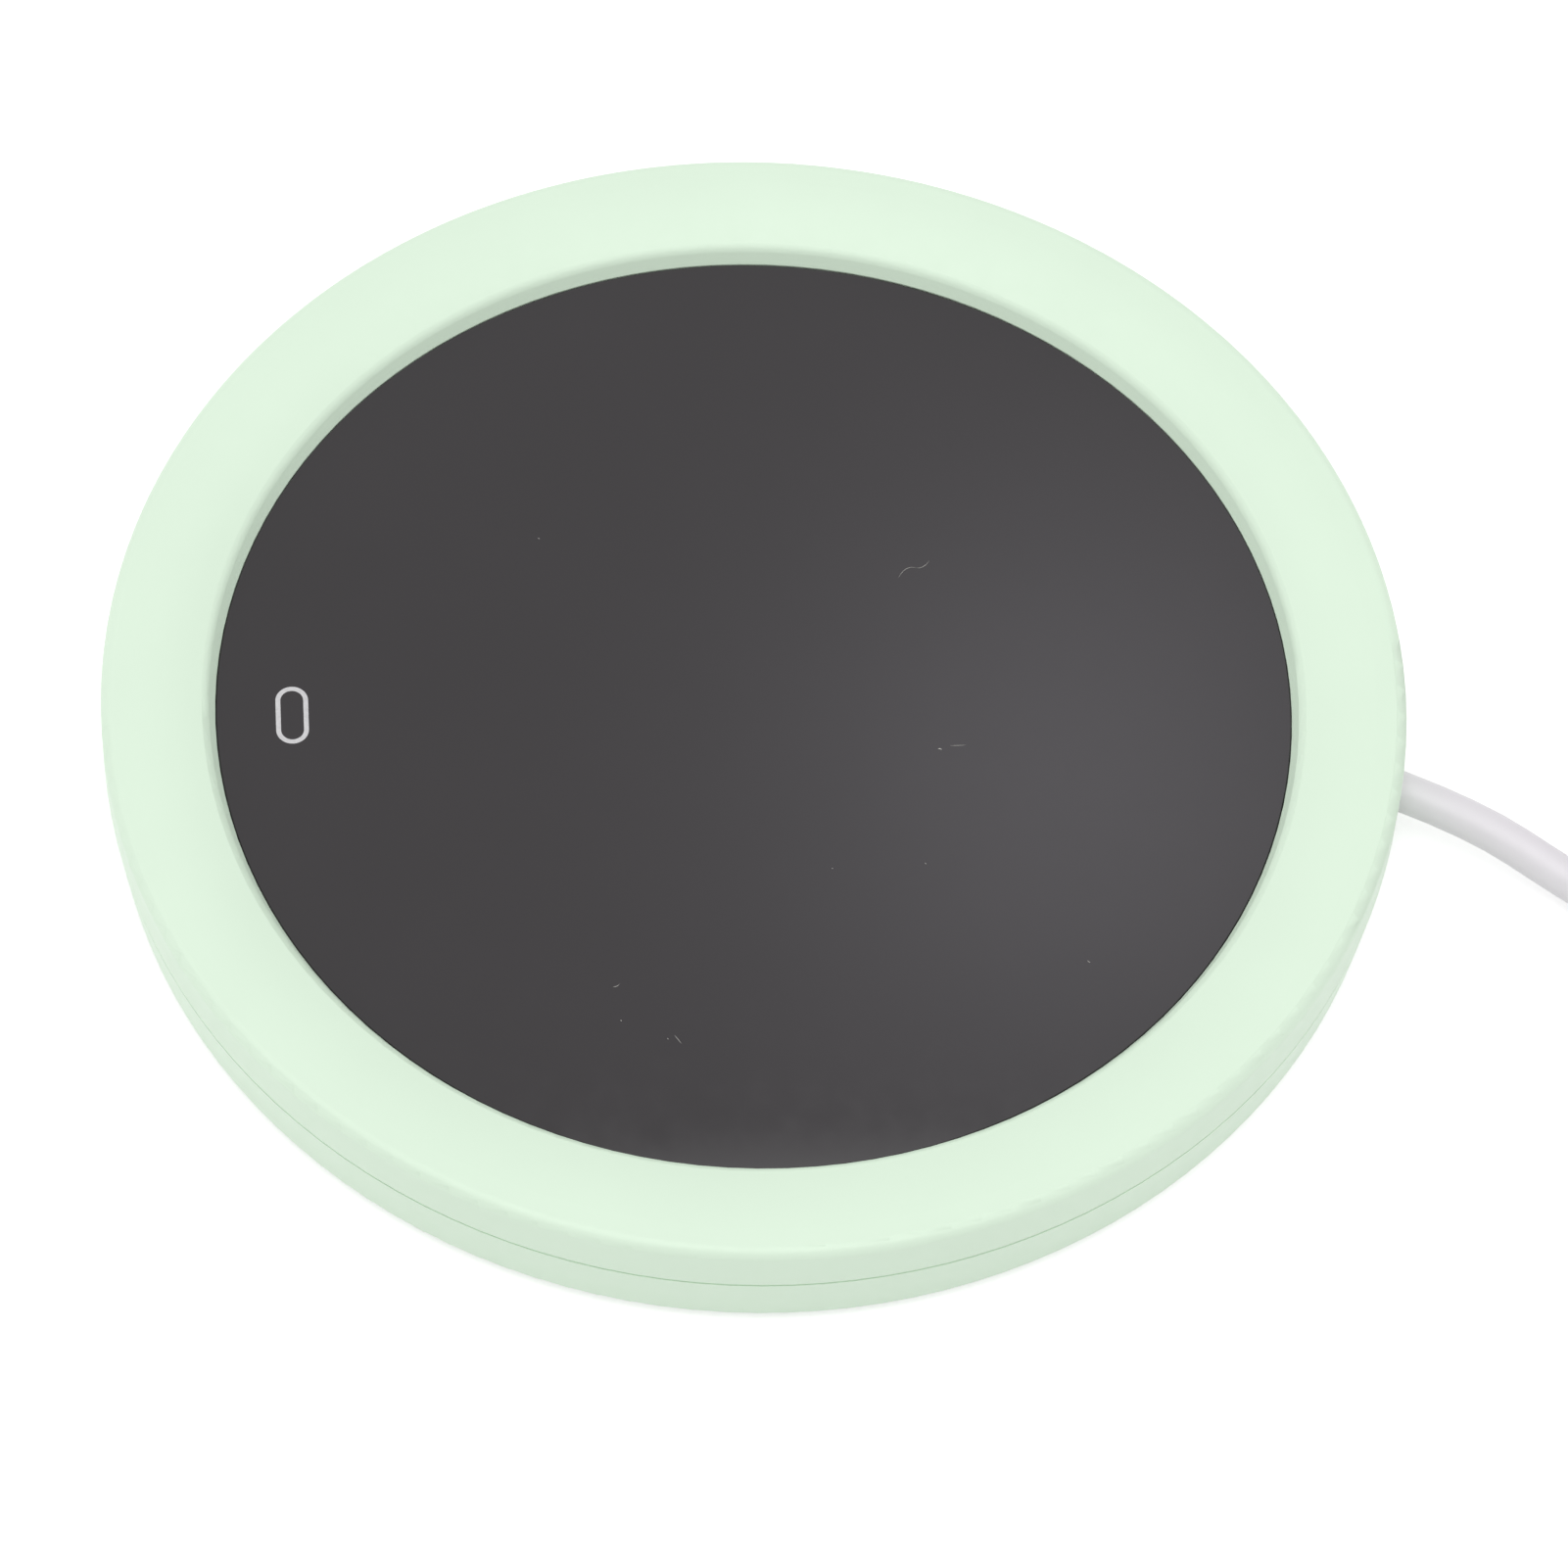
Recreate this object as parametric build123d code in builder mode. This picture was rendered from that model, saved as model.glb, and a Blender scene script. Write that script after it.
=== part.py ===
from build123d import *

import os
from math import degrees, pi, radians, tan

# Electric mug warmer: a round two-shell housing around a sunk glass warming panel, with its heater and
# control board inside and a low-voltage lead wound up beside it.
# Millimetres, +Z up. The origin is on the table under the housing's centre. The touch key is at the
# front (-Y) and the lead leaves at the back, close to +Y.

# --- Housing --------------------------------------------------------------------------------------
outer_radius = 60.0
ring_width = 10.4  # from the outer wall in to the wall of the glass's well
outer_wall = 1.8
top_plate = 2.8
top_edge_fillet = 1.0
base_floor = 1.8
base_edge_fillet = 0.8
base_taper = 0.8  # the lower shell's radius shrinks by this much towards the table
seam_groove = 0.3
lip_height = 1.4  # the bottom cover's locating lip inside the top housing
lip_thickness = 0.8
lip_clearance = 0.1
shoulder_width = 7.6  # the rolled slope from the flat top in to the well
slope_drop = 1.4  # how far it falls before the steep wall of the well
well_wall_lean = 0.75  # how far that wall leans out from the glass up to the slope
well_edge_radius = 1.2  # rounding between the slope and that wall
skirt_wall = 1.8  # the well's wall around the glass
top_rib_count = 16
top_rib_thickness = 1.2
top_rib_drop = 0.9
underside_recess_radius = 24.0
underside_recess_depth = 0.3

# --- Glass panel and its touch key ------------------------------------------------------------------
glass_thickness = 2.3
glass_below_top = 3.0  # the ring's flat top stands this far above the glass
glass_edge_chamfer = 0.1
glass_clearance = 0.05
tape_clearance = 0.2
tape_thickness = 0.3
ledge_width = 3.7  # how far the ledge reaches in under the glass
ledge_thickness = 1.5
key_inset = 3.3  # the key's middle, in from the ledge's inner edge
key_width = 3.0
key_length = 6.2
key_stroke = 0.45
print_thickness = 0.1

# --- Heater stack -----------------------------------------------------------------------------------
board_zone = 11.8  # from the spreader's edge out to the ledge, over the control board
spreader_thickness = 1.0
spreader_chamfer = 0.2
thermal_pad_thickness = 0.2
film_margin = 0.5  # the film and the felt stop this far inside the spreader's edge
film_thickness = 0.3
tab_width = 9.0
tab_reach = 3.6  # how far the film's tab passes the spreader's edge
track_thickness = 0.1
track_width = 1.6
track_ring_count = 10
track_inner_radius = 5.4  # to the middle of the innermost ring
track_gap = 3.4
track_margin = 1.2
insulation_thickness = 1.5
insulation_gap = 0.2  # between the felt and the control board
sensor_distance = 15.0  # the bead's distance from the centre, towards the key
sensor_radius = 0.65
sensor_length = 3.0
sensor_clearance = 0.35
sensor_wire_radius = 0.3
sensor_wire_pitch = 1.3

# --- Fasteners and feet -----------------------------------------------------------------------------
housing_screw_count = 4
screw_radius = 1.15
screw_head_radius = 2.1
screw_head_height = 1.2
screw_clearance = 0.1
screw_tip_clearance = 0.2
cross_recess_width = 0.5
cross_recess_depth = 0.5
cross_recess_share = 0.6  # of the head's radius
boss_radius = 2.5
boss_cap = 0.5  # plastic left above a blind screw hole
post_wall = 1.2
post_web = 1.2  # plastic under a screw's head
foot_radius = 5.0
foot_proud = 0.8
foot_recess = 0.8
foot_clearance = 0.1
foot_edge_fillet = 0.3

# --- Control board ----------------------------------------------------------------------------------
board_thickness = 1.2
board_standoff = 0.8
board_half_length = 24.0
board_under_spreader = 1.0  # the board's straight edge reaches this far in under the spreader
board_under_ledge = 1.7  # and its curved edge this far out under the ledge
board_corner = 1.0
board_screw_from_end = 3.5
board_screw_from_edge = 4.6  # in from the board's straight edge, as the other places on it
board_screw_radius = 0.9
board_screw_head_radius = 1.7
board_screw_head_height = 1.0
board_screw_reach = 1.6
board_post_radius = 2.2
light_length = 3.5
light_width = 2.8
light_height = 1.4
light_corner = 0.3
guide_length = 4.6
guide_width = 2.0
spring_radius = 2.9
spring_wire_radius = 0.2
spring_turns = 4
chip_offset = 9.5
chip_from_edge = 8.2
chip_length = 4.9
chip_width = 3.9
chip_height = 1.3
chip_standoff = 0.1
pin_width = 0.42
pin_reach = 1.0
pin_thickness = 0.2
pin_pitch = 1.27
chip_outer_pin_count = 4  # on its side towards the housing's wall
chip_inner_pin_count = 4
transistor_length = 4.4
transistor_outer_pin_count = 3
transistor_inner_pin_count = 1
capacitor_size = (2.0, 1.25, 1.2)
capacitor_places = ((-15.2, -3.4), (-15.2, -6.0), (-4.9, -9.6))  # from the middle of the straight edge
resistor_size = (1.6, 0.8, 0.45)
resistor_places = ((15.0, -5.4), (15.0, -7.0), (15.0, -8.6), (4.9, -9.6))
solder_height = 0.9
solder_margin = 0.5  # how far a joint spreads past its wire
solder_taper = 20

# --- Wires inside -----------------------------------------------------------------------------------
power_wire_radius = 0.8
power_wire_pitch = 1.9
power_pad_pitch = 2.9
power_wire_straight = 3.2  # past the end of the lead's jacket
power_route_outside = 5.2  # how far outside the spreader's edge the wires run
power_route_bearings = (76, 62, 46, 28, 10, -8, -24)
power_climb = ((6.6, 7.8), (-0.2, 2.0))  # from the board's inner right corner
power_end = (-7.6, -1.9)
heater_wire_radius = 0.6
heater_wire_steps = (2.2, 4.8)  # where a heater wire bends and ends, past the film's terminal
sensor_wire_straight = 1.0  # past the bead
sensor_wire_drop = 1.4  # plan length of its step down under the felt
sensor_pad_pitch = 2.0
wire_clearance = 0.05

# --- Ribs that press the heater stack up against the glass ------------------------------------------
support_rib_thickness = 1.2
support_outer_radius = 25.0
support_inner_radius = 9.0
support_spoke_count = 6

# --- Lead -------------------------------------------------------------------------------------------
cord_radius = 1.9
cord_above_floor = 2.6  # the lead's axis above the floor of the bottom cover
seam_above_cord = 2.7  # the two shells meet this far above it
cord_bearing = 81.67  # direction of its exit from the centre, degrees from +X
cord_heading = 67.0  # direction in which it leaves
cord_clearance = 0.15
cord_straight = 5.5  # how far it keeps that direction past the wall
cord_level_run = 10.0  # from touching down on the table to the coil's straight end
collar_seat_width = 12.0
collar_seat_depth = 4.4  # from the housing's outer face to the flat seat
collar_width = 8.0
collar_length = 3.0
collar_fillet = 0.8
collar_stop_thickness = 0.7
collar_clearance = 0.05

coil_from_exit = (4.36, 52.47)  # the coil's centre from the lead's exit, in plan
coil_radius = 21.0  # to the middle of its turns
coil_lane_count = 4
coil_layer_count = 2
coil_slack = 0.1  # between the turns and the coil's outer shape
coil_join_bearing = -38.0  # where the lead touches the outer turn, seen from the coil's centre
coil_join_run = 15.0  # straight length up to that point
coil_leave_bearing = 30.0  # where the outer turn of the upper layer leaves
coil_leave_run = 15.5
coil_whole_turn_count = 7
tie_thickness = 0.35
tie_width = 5.0
tie_clearance = 0.05
tie_bearing = 205.0
tail_level_run = 9.9
tail_bend = ((2.11, 40.90), (-7.81, 42.20), (-17.28, 38.99))  # from the coil's centre
tail_drop_shares = (0.2, 0.65, 1.0)  # of the way down to the plug's level
tail_end = (-24.28, 31.99)

# --- Plug -------------------------------------------------------------------------------------------
grip_width = 15.4
grip_height = 7.6
grip_length = 22.0
grip_corner = 2.4
grip_end_fillet = 1.0
relief_length = 11.0
relief_small_radius = 2.6
relief_large_radius = 3.4
relief_groove_count = 3
relief_groove_width = 0.9
relief_groove_depth = 0.5
shell_width = 12.0
shell_height = 4.5
shell_length = 18.5
shell_wall = 0.3
shell_corner = 0.6
shell_inside_grip = 3.0
window_length = 2.5
window_width = 2.0
window_from_tip = 5.2
window_offset = 2.6
tongue_thickness = 1.8
tongue_setback = 0.6
contact_offsets = (-3.5, -1.0, 1.0, 3.5)
contact_width = 1.0
contact_thickness = 0.12
contact_setback = 1.4
contact_length = 7.4

# --- Levels and radii worked out from the sizes above -----------------------------------------------
z_base = foot_proud
z_floor = z_base + base_floor
z_board = z_floor + board_standoff
z_board_top = z_board + board_thickness
z_felt = z_board_top + insulation_gap
z_track = z_felt + insulation_thickness
z_film = z_track + track_thickness
z_spreader = z_film + film_thickness
z_spreader_top = z_spreader + spreader_thickness
z_glass = z_spreader_top + thermal_pad_thickness
z_glass_top = z_glass + glass_thickness
z_top = z_glass_top + glass_below_top
z_plate_under = z_top - top_plate
z_ledge = z_glass - tape_thickness
z_ledge_under = z_ledge - ledge_thickness
z_cord = z_floor + cord_above_floor
z_seam = z_cord + seam_above_cord
z_foot_seat = z_base + foot_recess
z_screw_head = z_foot_seat + screw_clearance
z_screw_seat = z_screw_head + screw_head_height
z_post_top = z_screw_seat + post_web
z_boss_hole = z_ledge - boss_cap

well_radius = outer_radius - ring_width
glass_radius = well_radius - glass_clearance
shoulder_radius = well_radius + shoulder_width
slope_end_radius = well_radius + well_wall_lean
z_slope_end = z_top - slope_drop
ledge_radius = glass_radius - ledge_width
skirt_radius = well_radius + skirt_wall
plate_edge_radius = outer_radius - outer_wall
lip_radius = plate_edge_radius - lip_clearance
tray_radius = lip_radius - lip_thickness
spreader_radius = ledge_radius - board_zone
film_radius = spreader_radius - film_margin
key_distance = ledge_radius - key_inset
board_inner_edge = spreader_radius - board_under_spreader
board_outer_radius = ledge_radius + board_under_ledge
board_screw_offset = board_half_length - board_screw_from_end
board_screw_distance = board_inner_edge + board_screw_from_edge
chip_distance = board_inner_edge + chip_from_edge
power_route_radius = spreader_radius + power_route_outside
fastener_circle = (ledge_radius + skirt_radius) / 2
post_radius = screw_head_radius + screw_clearance + post_wall
cord_hole_radius = cord_radius + cord_clearance
track_outer_radius = film_radius - track_margin - track_width / 2
track_pitch = (track_outer_radius - track_inner_radius) / (track_ring_count - 1)
terminal_x = (track_gap + track_width) / 2
terminal_y = -(spreader_radius + tab_reach / 2)
cord_inside = collar_seat_depth + collar_length + 2 * collar_clearance + collar_stop_thickness
coil_turns = coil_whole_turn_count + (coil_leave_bearing - coil_join_bearing) / 360
coil_outer_lane = coil_radius + (coil_lane_count - 1) * cord_radius
coil_half_width = coil_lane_count * cord_radius + coil_slack
coil_height = 2 * (coil_layer_count * cord_radius + coil_slack)
coil_base = tie_thickness + tie_clearance
z_coil_low = coil_base + coil_slack + cord_radius
z_coil_high = z_coil_low + 2 * (coil_layer_count - 1) * cord_radius
z_plug = grip_height / 2


# --- Helpers ----------------------------------------------------------------------------------------


def polar(distance, bearing, height):
    """A point at a distance and bearing from the centre, at a height."""
    return Vector(distance, 0, height).rotate(Axis.Z, bearing)


def tray_outer_radius(height):
    """The bottom cover's outer radius at a height, with its taper."""
    return outer_radius - base_taper * (z_seam - height) / (z_seam - z_base)


def fastener_places():
    """The housing screws, with the posts, bosses and feet around them."""
    return PolarLocations(fastener_circle, housing_screw_count, start_angle=45)


def board_screw_places():
    """The two screws that hold the control board."""
    return Locations(
        (-board_screw_offset, -board_screw_distance),
        (board_screw_offset, -board_screw_distance),
    )


def plane_along(origin, direction):
    """A plane across a level direction: its x is sideways and its y is up."""
    return Plane(origin=origin, x_dir=Vector(0, 0, 1).cross(direction), z_dir=direction)


def cord_plane(inside):
    """The plane across the lead, this far inside the housing's outer face."""
    return plane_along(cord_exit - cord_direction * inside, cord_direction)


def coil_tangent_point(bearing, run, height):
    """A point on the line that touches the coil's outer turn at a bearing, this far past the touch."""
    touch = Vector(coil_outer_lane, run, height).rotate(Axis.Z, bearing)
    return coil_centre + touch


def plug_plane(along):
    """The plane across the plug, this far along it from the end of the cord."""
    return plane_along(plug_start + plug_direction * along, plug_direction)


def bend_radii(points):
    """The radius of each bend in a route: as large as the two runs beside it allow."""
    radii = []
    for before, here, after in zip(points, points[1:], points[2:]):
        run_in = here - before
        run_out = after - here
        half_turn = radians(run_in.get_angle(run_out)) / 2
        radii.append(0.45 * min(run_in.length, run_out.length) / tan(half_turn))
    return radii


def route_length(points):
    """The length of a route of straight runs and tangent arcs."""
    with BuildLine() as route:
        FilletPolyline(*points, radius=bend_radii(points))
    return route.wires()[0].length


def make_tube(points, tube_radius):
    """A round wire or cord along a route of straight runs and tangent arcs."""
    with BuildPart() as tube:
        with BuildLine() as route:
            FilletPolyline(*points, radius=bend_radii(points))
        with BuildSketch(Plane(origin=route.line @ 0, z_dir=route.line % 0)):
            Circle(tube_radius)
        sweep()
    return tube.part


def beside(points, sideways, end_sideways):
    """The route again, moved to its left by a distance in plan, with a distance of its own at the end."""
    runs = [Vector(after.X - here.X, after.Y - here.Y, 0) for here, after in zip(points, points[1:])]
    lefts = [Vector(0, 0, 1).cross(run.normalized()) for run in runs]
    moved = [points[0] + lefts[0] * sideways]
    for here, left_in, left_out in zip(points[1:], lefts, lefts[1:]):
        mitre = left_in + left_out
        moved.append(here + mitre * (2 * sideways / mitre.length**2))
    moved.append(points[-1] + lefts[-1] * end_sideways)
    return moved


# --- The lead's route -------------------------------------------------------------------------------

cord_exit = polar(outer_radius, cord_bearing, z_cord)
cord_direction = Vector(1, 0, 0).rotate(Axis.Z, cord_heading)
jacket_end = cord_exit - cord_direction * cord_inside
coil_centre = Vector(cord_exit.X + coil_from_exit[0], cord_exit.Y + coil_from_exit[1], 0)

# From the end of the jacket inside the housing to the coil.
lead_points = [
    jacket_end,
    cord_exit + cord_direction * cord_straight,
    coil_tangent_point(coil_join_bearing, -coil_join_run - cord_level_run, z_coil_low),
    coil_tangent_point(coil_join_bearing, -coil_join_run, z_coil_low),
]
# From the coil to the plug.
tail_points = [
    coil_tangent_point(coil_leave_bearing, coil_leave_run, z_coil_high),
    coil_tangent_point(coil_leave_bearing, coil_leave_run + tail_level_run, z_coil_high),
]
for place, share in zip(tail_bend, tail_drop_shares):
    tail_points.append(coil_centre + Vector(*place, z_coil_high + share * (z_plug - z_coil_high)))
tail_points.append(coil_centre + Vector(*tail_end, z_plug))
plug_start = tail_points[-1]
plug_direction = (tail_points[-1] - tail_points[-2]).normalized()


# --- Housing ----------------------------------------------------------------------------------------


def make_exit_filler():
    """The tongue that hangs from the top housing and closes the bottom cover's notch above the lead."""
    with BuildPart() as exit_filler:
        with BuildSketch(Plane.XZ):
            with BuildLine():
                Polyline(
                    (plate_edge_radius, z_seam),
                    (outer_radius, z_seam),
                    (tray_outer_radius(z_cord), z_cord),
                    (plate_edge_radius, z_cord),
                    close=True,
                )
            make_face()
        revolve()
        with BuildSketch(cord_plane(0)):
            Rectangle(2 * (cord_hole_radius - lip_clearance), 2 * z_top)
        extrude(amount=collar_seat_depth, both=True, mode=Mode.INTERSECT)
        with BuildSketch(cord_plane(0)):
            Circle(cord_hole_radius)
        extrude(amount=collar_seat_depth, both=True, mode=Mode.SUBTRACT)
    return exit_filler.part


def make_top_housing():
    """The ring: flat top, rolled shoulder, well and ledge for the glass, outer wall, ribs and bosses."""
    exit_filler = make_exit_filler()
    with BuildPart() as top_housing:
        with BuildSketch(Plane.XZ) as profile:
            with BuildLine():
                TangentArc((shoulder_radius, z_top), (slope_end_radius, z_slope_end), tangent=(-1, 0))
                Polyline(
                    (slope_end_radius, z_slope_end),
                    (well_radius, z_glass_top),
                    (well_radius, z_ledge),
                    (ledge_radius, z_ledge),
                    (ledge_radius, z_ledge_under),
                    (skirt_radius, z_ledge_under),
                    (skirt_radius, z_plate_under),
                    (plate_edge_radius, z_plate_under),
                    (plate_edge_radius, z_seam),
                    (outer_radius, z_seam),
                    (outer_radius, z_top),
                    (shoulder_radius, z_top),
                )
            make_face()
            fillet(profile.vertices().sort_by_distance((slope_end_radius, z_slope_end))[0], well_edge_radius)
        revolve()
        fillet(top_housing.edges().group_by(Axis.Z)[-1].sort_by(SortBy.RADIUS)[-1], top_edge_fillet)

        with BuildSketch(Plane.XY.offset(z_plate_under)):
            with PolarLocations((skirt_radius + plate_edge_radius) / 2, top_rib_count):
                Rectangle(plate_edge_radius - skirt_radius + skirt_wall, top_rib_thickness)
        extrude(amount=-top_rib_drop)

        with BuildSketch(Plane.XY.offset(z_post_top)):
            with fastener_places():
                Circle(boss_radius)
        extrude(amount=z_ledge_under - z_post_top)
        with BuildSketch(Plane.XY.offset(z_post_top)):
            with fastener_places():
                Circle(screw_radius + screw_clearance / 2)
        extrude(amount=z_boss_hole - z_post_top, mode=Mode.SUBTRACT)
        add(exit_filler)
    return top_housing.part


def make_bottom_cover():
    """The tray: tapered wall, locating lip, screw posts, foot recesses, ribs and the lead's seat."""
    with BuildPart() as bottom_cover:
        with BuildSketch(Plane.XZ):
            with BuildLine():
                Polyline(
                    (0, z_base),
                    (tray_outer_radius(z_base), z_base),
                    (tray_outer_radius(z_seam - seam_groove), z_seam - seam_groove),
                    (outer_radius - seam_groove, z_seam - seam_groove),
                    (outer_radius - seam_groove, z_seam),
                    (lip_radius, z_seam),
                    (lip_radius, z_seam + lip_height),
                    (tray_radius, z_seam + lip_height),
                    (tray_radius, z_floor),
                    (0, z_floor),
                    close=True,
                )
            make_face()
        revolve()
        fillet(bottom_cover.edges().group_by(Axis.Z)[0].sort_by(SortBy.RADIUS)[-1], base_edge_fillet)

        with BuildSketch(Plane.XY.offset(z_floor)):
            Circle(support_outer_radius + support_rib_thickness / 2)
            Circle(support_outer_radius - support_rib_thickness / 2, mode=Mode.SUBTRACT)
            with PolarLocations((support_inner_radius + support_outer_radius) / 2, support_spoke_count):
                Rectangle(support_outer_radius - support_inner_radius, support_rib_thickness)
            Circle(support_inner_radius + support_rib_thickness / 2)
            Circle(support_inner_radius - support_rib_thickness / 2, mode=Mode.SUBTRACT)
        extrude(amount=z_felt - z_floor)

        with BuildSketch(Plane.XY.offset(z_floor)):
            with board_screw_places():
                Circle(board_post_radius)
        extrude(amount=board_standoff)
        with BuildSketch(Plane.XY.offset(z_board)):
            with board_screw_places():
                Circle(board_screw_radius + screw_clearance / 2)
        extrude(amount=-board_screw_reach - screw_tip_clearance, mode=Mode.SUBTRACT)

        with BuildSketch(Plane.XY.offset(z_floor)):
            with fastener_places():
                Circle(post_radius)
        extrude(amount=z_post_top - z_floor)
        with BuildSketch(Plane.XY.offset(z_base)):
            with fastener_places():
                Circle(foot_radius + foot_clearance)
        extrude(amount=foot_recess, mode=Mode.SUBTRACT)
        with BuildSketch(Plane.XY.offset(z_foot_seat)):
            with fastener_places():
                Circle(screw_head_radius + screw_clearance)
        extrude(amount=z_screw_seat - z_foot_seat, mode=Mode.SUBTRACT)
        with BuildSketch(Plane.XY.offset(z_screw_seat)):
            with fastener_places():
                Circle(screw_radius + screw_clearance)
        extrude(amount=post_web, mode=Mode.SUBTRACT)
        with BuildSketch(Plane.XY.offset(z_base)):
            Circle(underside_recess_radius)
        extrude(amount=underside_recess_depth, mode=Mode.SUBTRACT)

        # The flat seat that the lead's collar bears on, and the stop behind the collar.
        with BuildSketch(Plane.XY.offset(z_floor)):
            with Locations(seat_location(0, collar_seat_depth)):
                Rectangle(collar_seat_depth, collar_seat_width)
            Circle(tray_radius + lip_clearance, mode=Mode.INTERSECT)
        extrude(amount=z_seam - z_floor)
        with BuildSketch(Plane.XY.offset(z_floor)):
            with Locations(seat_location(cord_inside - collar_stop_thickness, cord_inside)):
                Rectangle(collar_stop_thickness, collar_width)
        extrude(amount=z_cord - z_floor)

        # The notch for the lead, open towards the top housing.
        with BuildSketch(cord_plane(0)):
            Circle(cord_hole_radius)
            with Locations((0, z_top / 2)):
                Rectangle(2 * cord_hole_radius, z_top)
        extrude(amount=cord_inside, both=True, mode=Mode.SUBTRACT)
    return bottom_cover.part


def seat_location(near, far):
    """The middle, in plan, of what lies between two distances inside the lead's exit."""
    middle = cord_exit - cord_direction * (near + far) / 2
    return Location((middle.X, middle.Y, 0), (0, 0, cord_heading))


def make_feet():
    """Four silicone pads in the bottom cover's recesses, over the screws."""
    with BuildPart() as feet:
        with BuildSketch(Plane.XY):
            with fastener_places():
                Circle(foot_radius)
        extrude(amount=z_foot_seat)
        fillet(feet.edges().group_by(Axis.Z)[0], foot_edge_fillet)
    return feet.part


def make_screws(places, head_radius, head_level, seat_level, shank_radius, tip_level):
    """Pan-head screws with a cross recess. The head lies between head_level and seat_level."""
    into_head = 1 if seat_level > head_level else -1
    with BuildPart() as screws:
        with BuildSketch(Plane.XY.offset(head_level)):
            with places():
                Circle(head_radius)
        extrude(amount=seat_level - head_level)
        with BuildSketch(Plane.XY.offset(seat_level)):
            with places():
                Circle(shank_radius)
        extrude(amount=tip_level - seat_level)
        with BuildSketch(Plane.XY.offset(head_level)):
            with places():
                Rectangle(2 * cross_recess_share * head_radius, cross_recess_width)
                Rectangle(cross_recess_width, 2 * cross_recess_share * head_radius)
        extrude(amount=into_head * cross_recess_depth, mode=Mode.SUBTRACT)
    return screws.part


# --- Glass panel ------------------------------------------------------------------------------------


def make_glass_panel():
    """The glass disc with its ground edge and the shallow bed of the printed outline."""
    with BuildPart() as glass_panel:
        with BuildSketch(Plane.XY.offset(z_glass)):
            Circle(glass_radius)
        extrude(amount=glass_thickness)
        chamfer(glass_panel.edges().group_by(Axis.Z)[-1], glass_edge_chamfer)
        add(make_touch_mark(), mode=Mode.SUBTRACT)
    return glass_panel.part


def make_touch_mark():
    """The printed outline of the touch key, flush with the glass."""
    with BuildPart() as touch_mark:
        with BuildSketch(Plane.XY.offset(z_glass_top - print_thickness)):
            with Locations((0, -key_distance)):
                SlotOverall(key_length, key_width)
                SlotOverall(key_length - 2 * key_stroke, key_width - 2 * key_stroke, mode=Mode.SUBTRACT)
        extrude(amount=print_thickness)
    return touch_mark.part


def make_glass_tape():
    """The adhesive ring that bonds the glass to the ledge."""
    with BuildPart() as glass_tape:
        with BuildSketch(Plane.XY.offset(z_ledge)):
            Circle(glass_radius - tape_clearance)
            Circle(ledge_radius + tape_clearance, mode=Mode.SUBTRACT)
        extrude(amount=tape_thickness)
    return glass_tape.part


# --- Heater stack -----------------------------------------------------------------------------------


def make_thermal_pad():
    """The soft heat-conducting disc between the spreader and the glass."""
    with BuildPart() as thermal_pad:
        with BuildSketch(Plane.XY.offset(z_spreader_top)):
            Circle(spreader_radius - spreader_chamfer)
        extrude(amount=thermal_pad_thickness)
    return thermal_pad.part


def make_heat_spreader():
    """The aluminium disc under the glass."""
    with BuildPart() as heat_spreader:
        with BuildSketch(Plane.XY.offset(z_spreader)):
            Circle(spreader_radius)
        extrude(amount=spreader_thickness)
        chamfer(heat_spreader.edges().filter_by(GeomType.CIRCLE), spreader_chamfer)
    return heat_spreader.part


def make_heating_film():
    """The insulating film under the spreader, with the tab that carries its terminals."""
    with BuildPart() as heating_film:
        with BuildSketch(Plane.XY.offset(z_film)):
            Circle(film_radius)
            with Locations((0, -(spreader_radius + tab_reach) / 2)):
                Rectangle(tab_width, spreader_radius + tab_reach)
        extrude(amount=film_thickness)
    return heating_film.part


def make_heater_track():
    """The etched foil: two mirrored halves that wind inwards ring by ring and meet at the innermost."""
    radii = [track_outer_radius - number * track_pitch for number in range(track_ring_count)]
    with BuildPart() as heater_track:
        with BuildSketch(Plane.XY.offset(z_track)):
            for ring_radius in radii:
                Circle(ring_radius + track_width / 2)
                Circle(ring_radius - track_width / 2, mode=Mode.SUBTRACT)
            Rectangle(track_gap, 2 * track_outer_radius + 2 * track_width, mode=Mode.SUBTRACT)
            for number in range(track_ring_count - 1):
                end = 1 if number % 2 == 0 else -1
                middle = end * (radii[number] - track_pitch / 2)
                with Locations((-terminal_x, middle), (terminal_x, middle)):
                    Rectangle(track_width, track_pitch + track_width / 2)
            last_end = 1 if (track_ring_count - 1) % 2 == 0 else -1
            with Locations((0, last_end * radii[-1])):
                Rectangle(track_gap + 2 * track_width, track_width)
            terminal_length = -terminal_y - track_outer_radius + track_width
            with Locations(
                (-terminal_x, terminal_y + terminal_length / 2),
                (terminal_x, terminal_y + terminal_length / 2),
            ):
                Rectangle(track_width, terminal_length)
        extrude(amount=track_thickness)
    return heater_track.part


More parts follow.
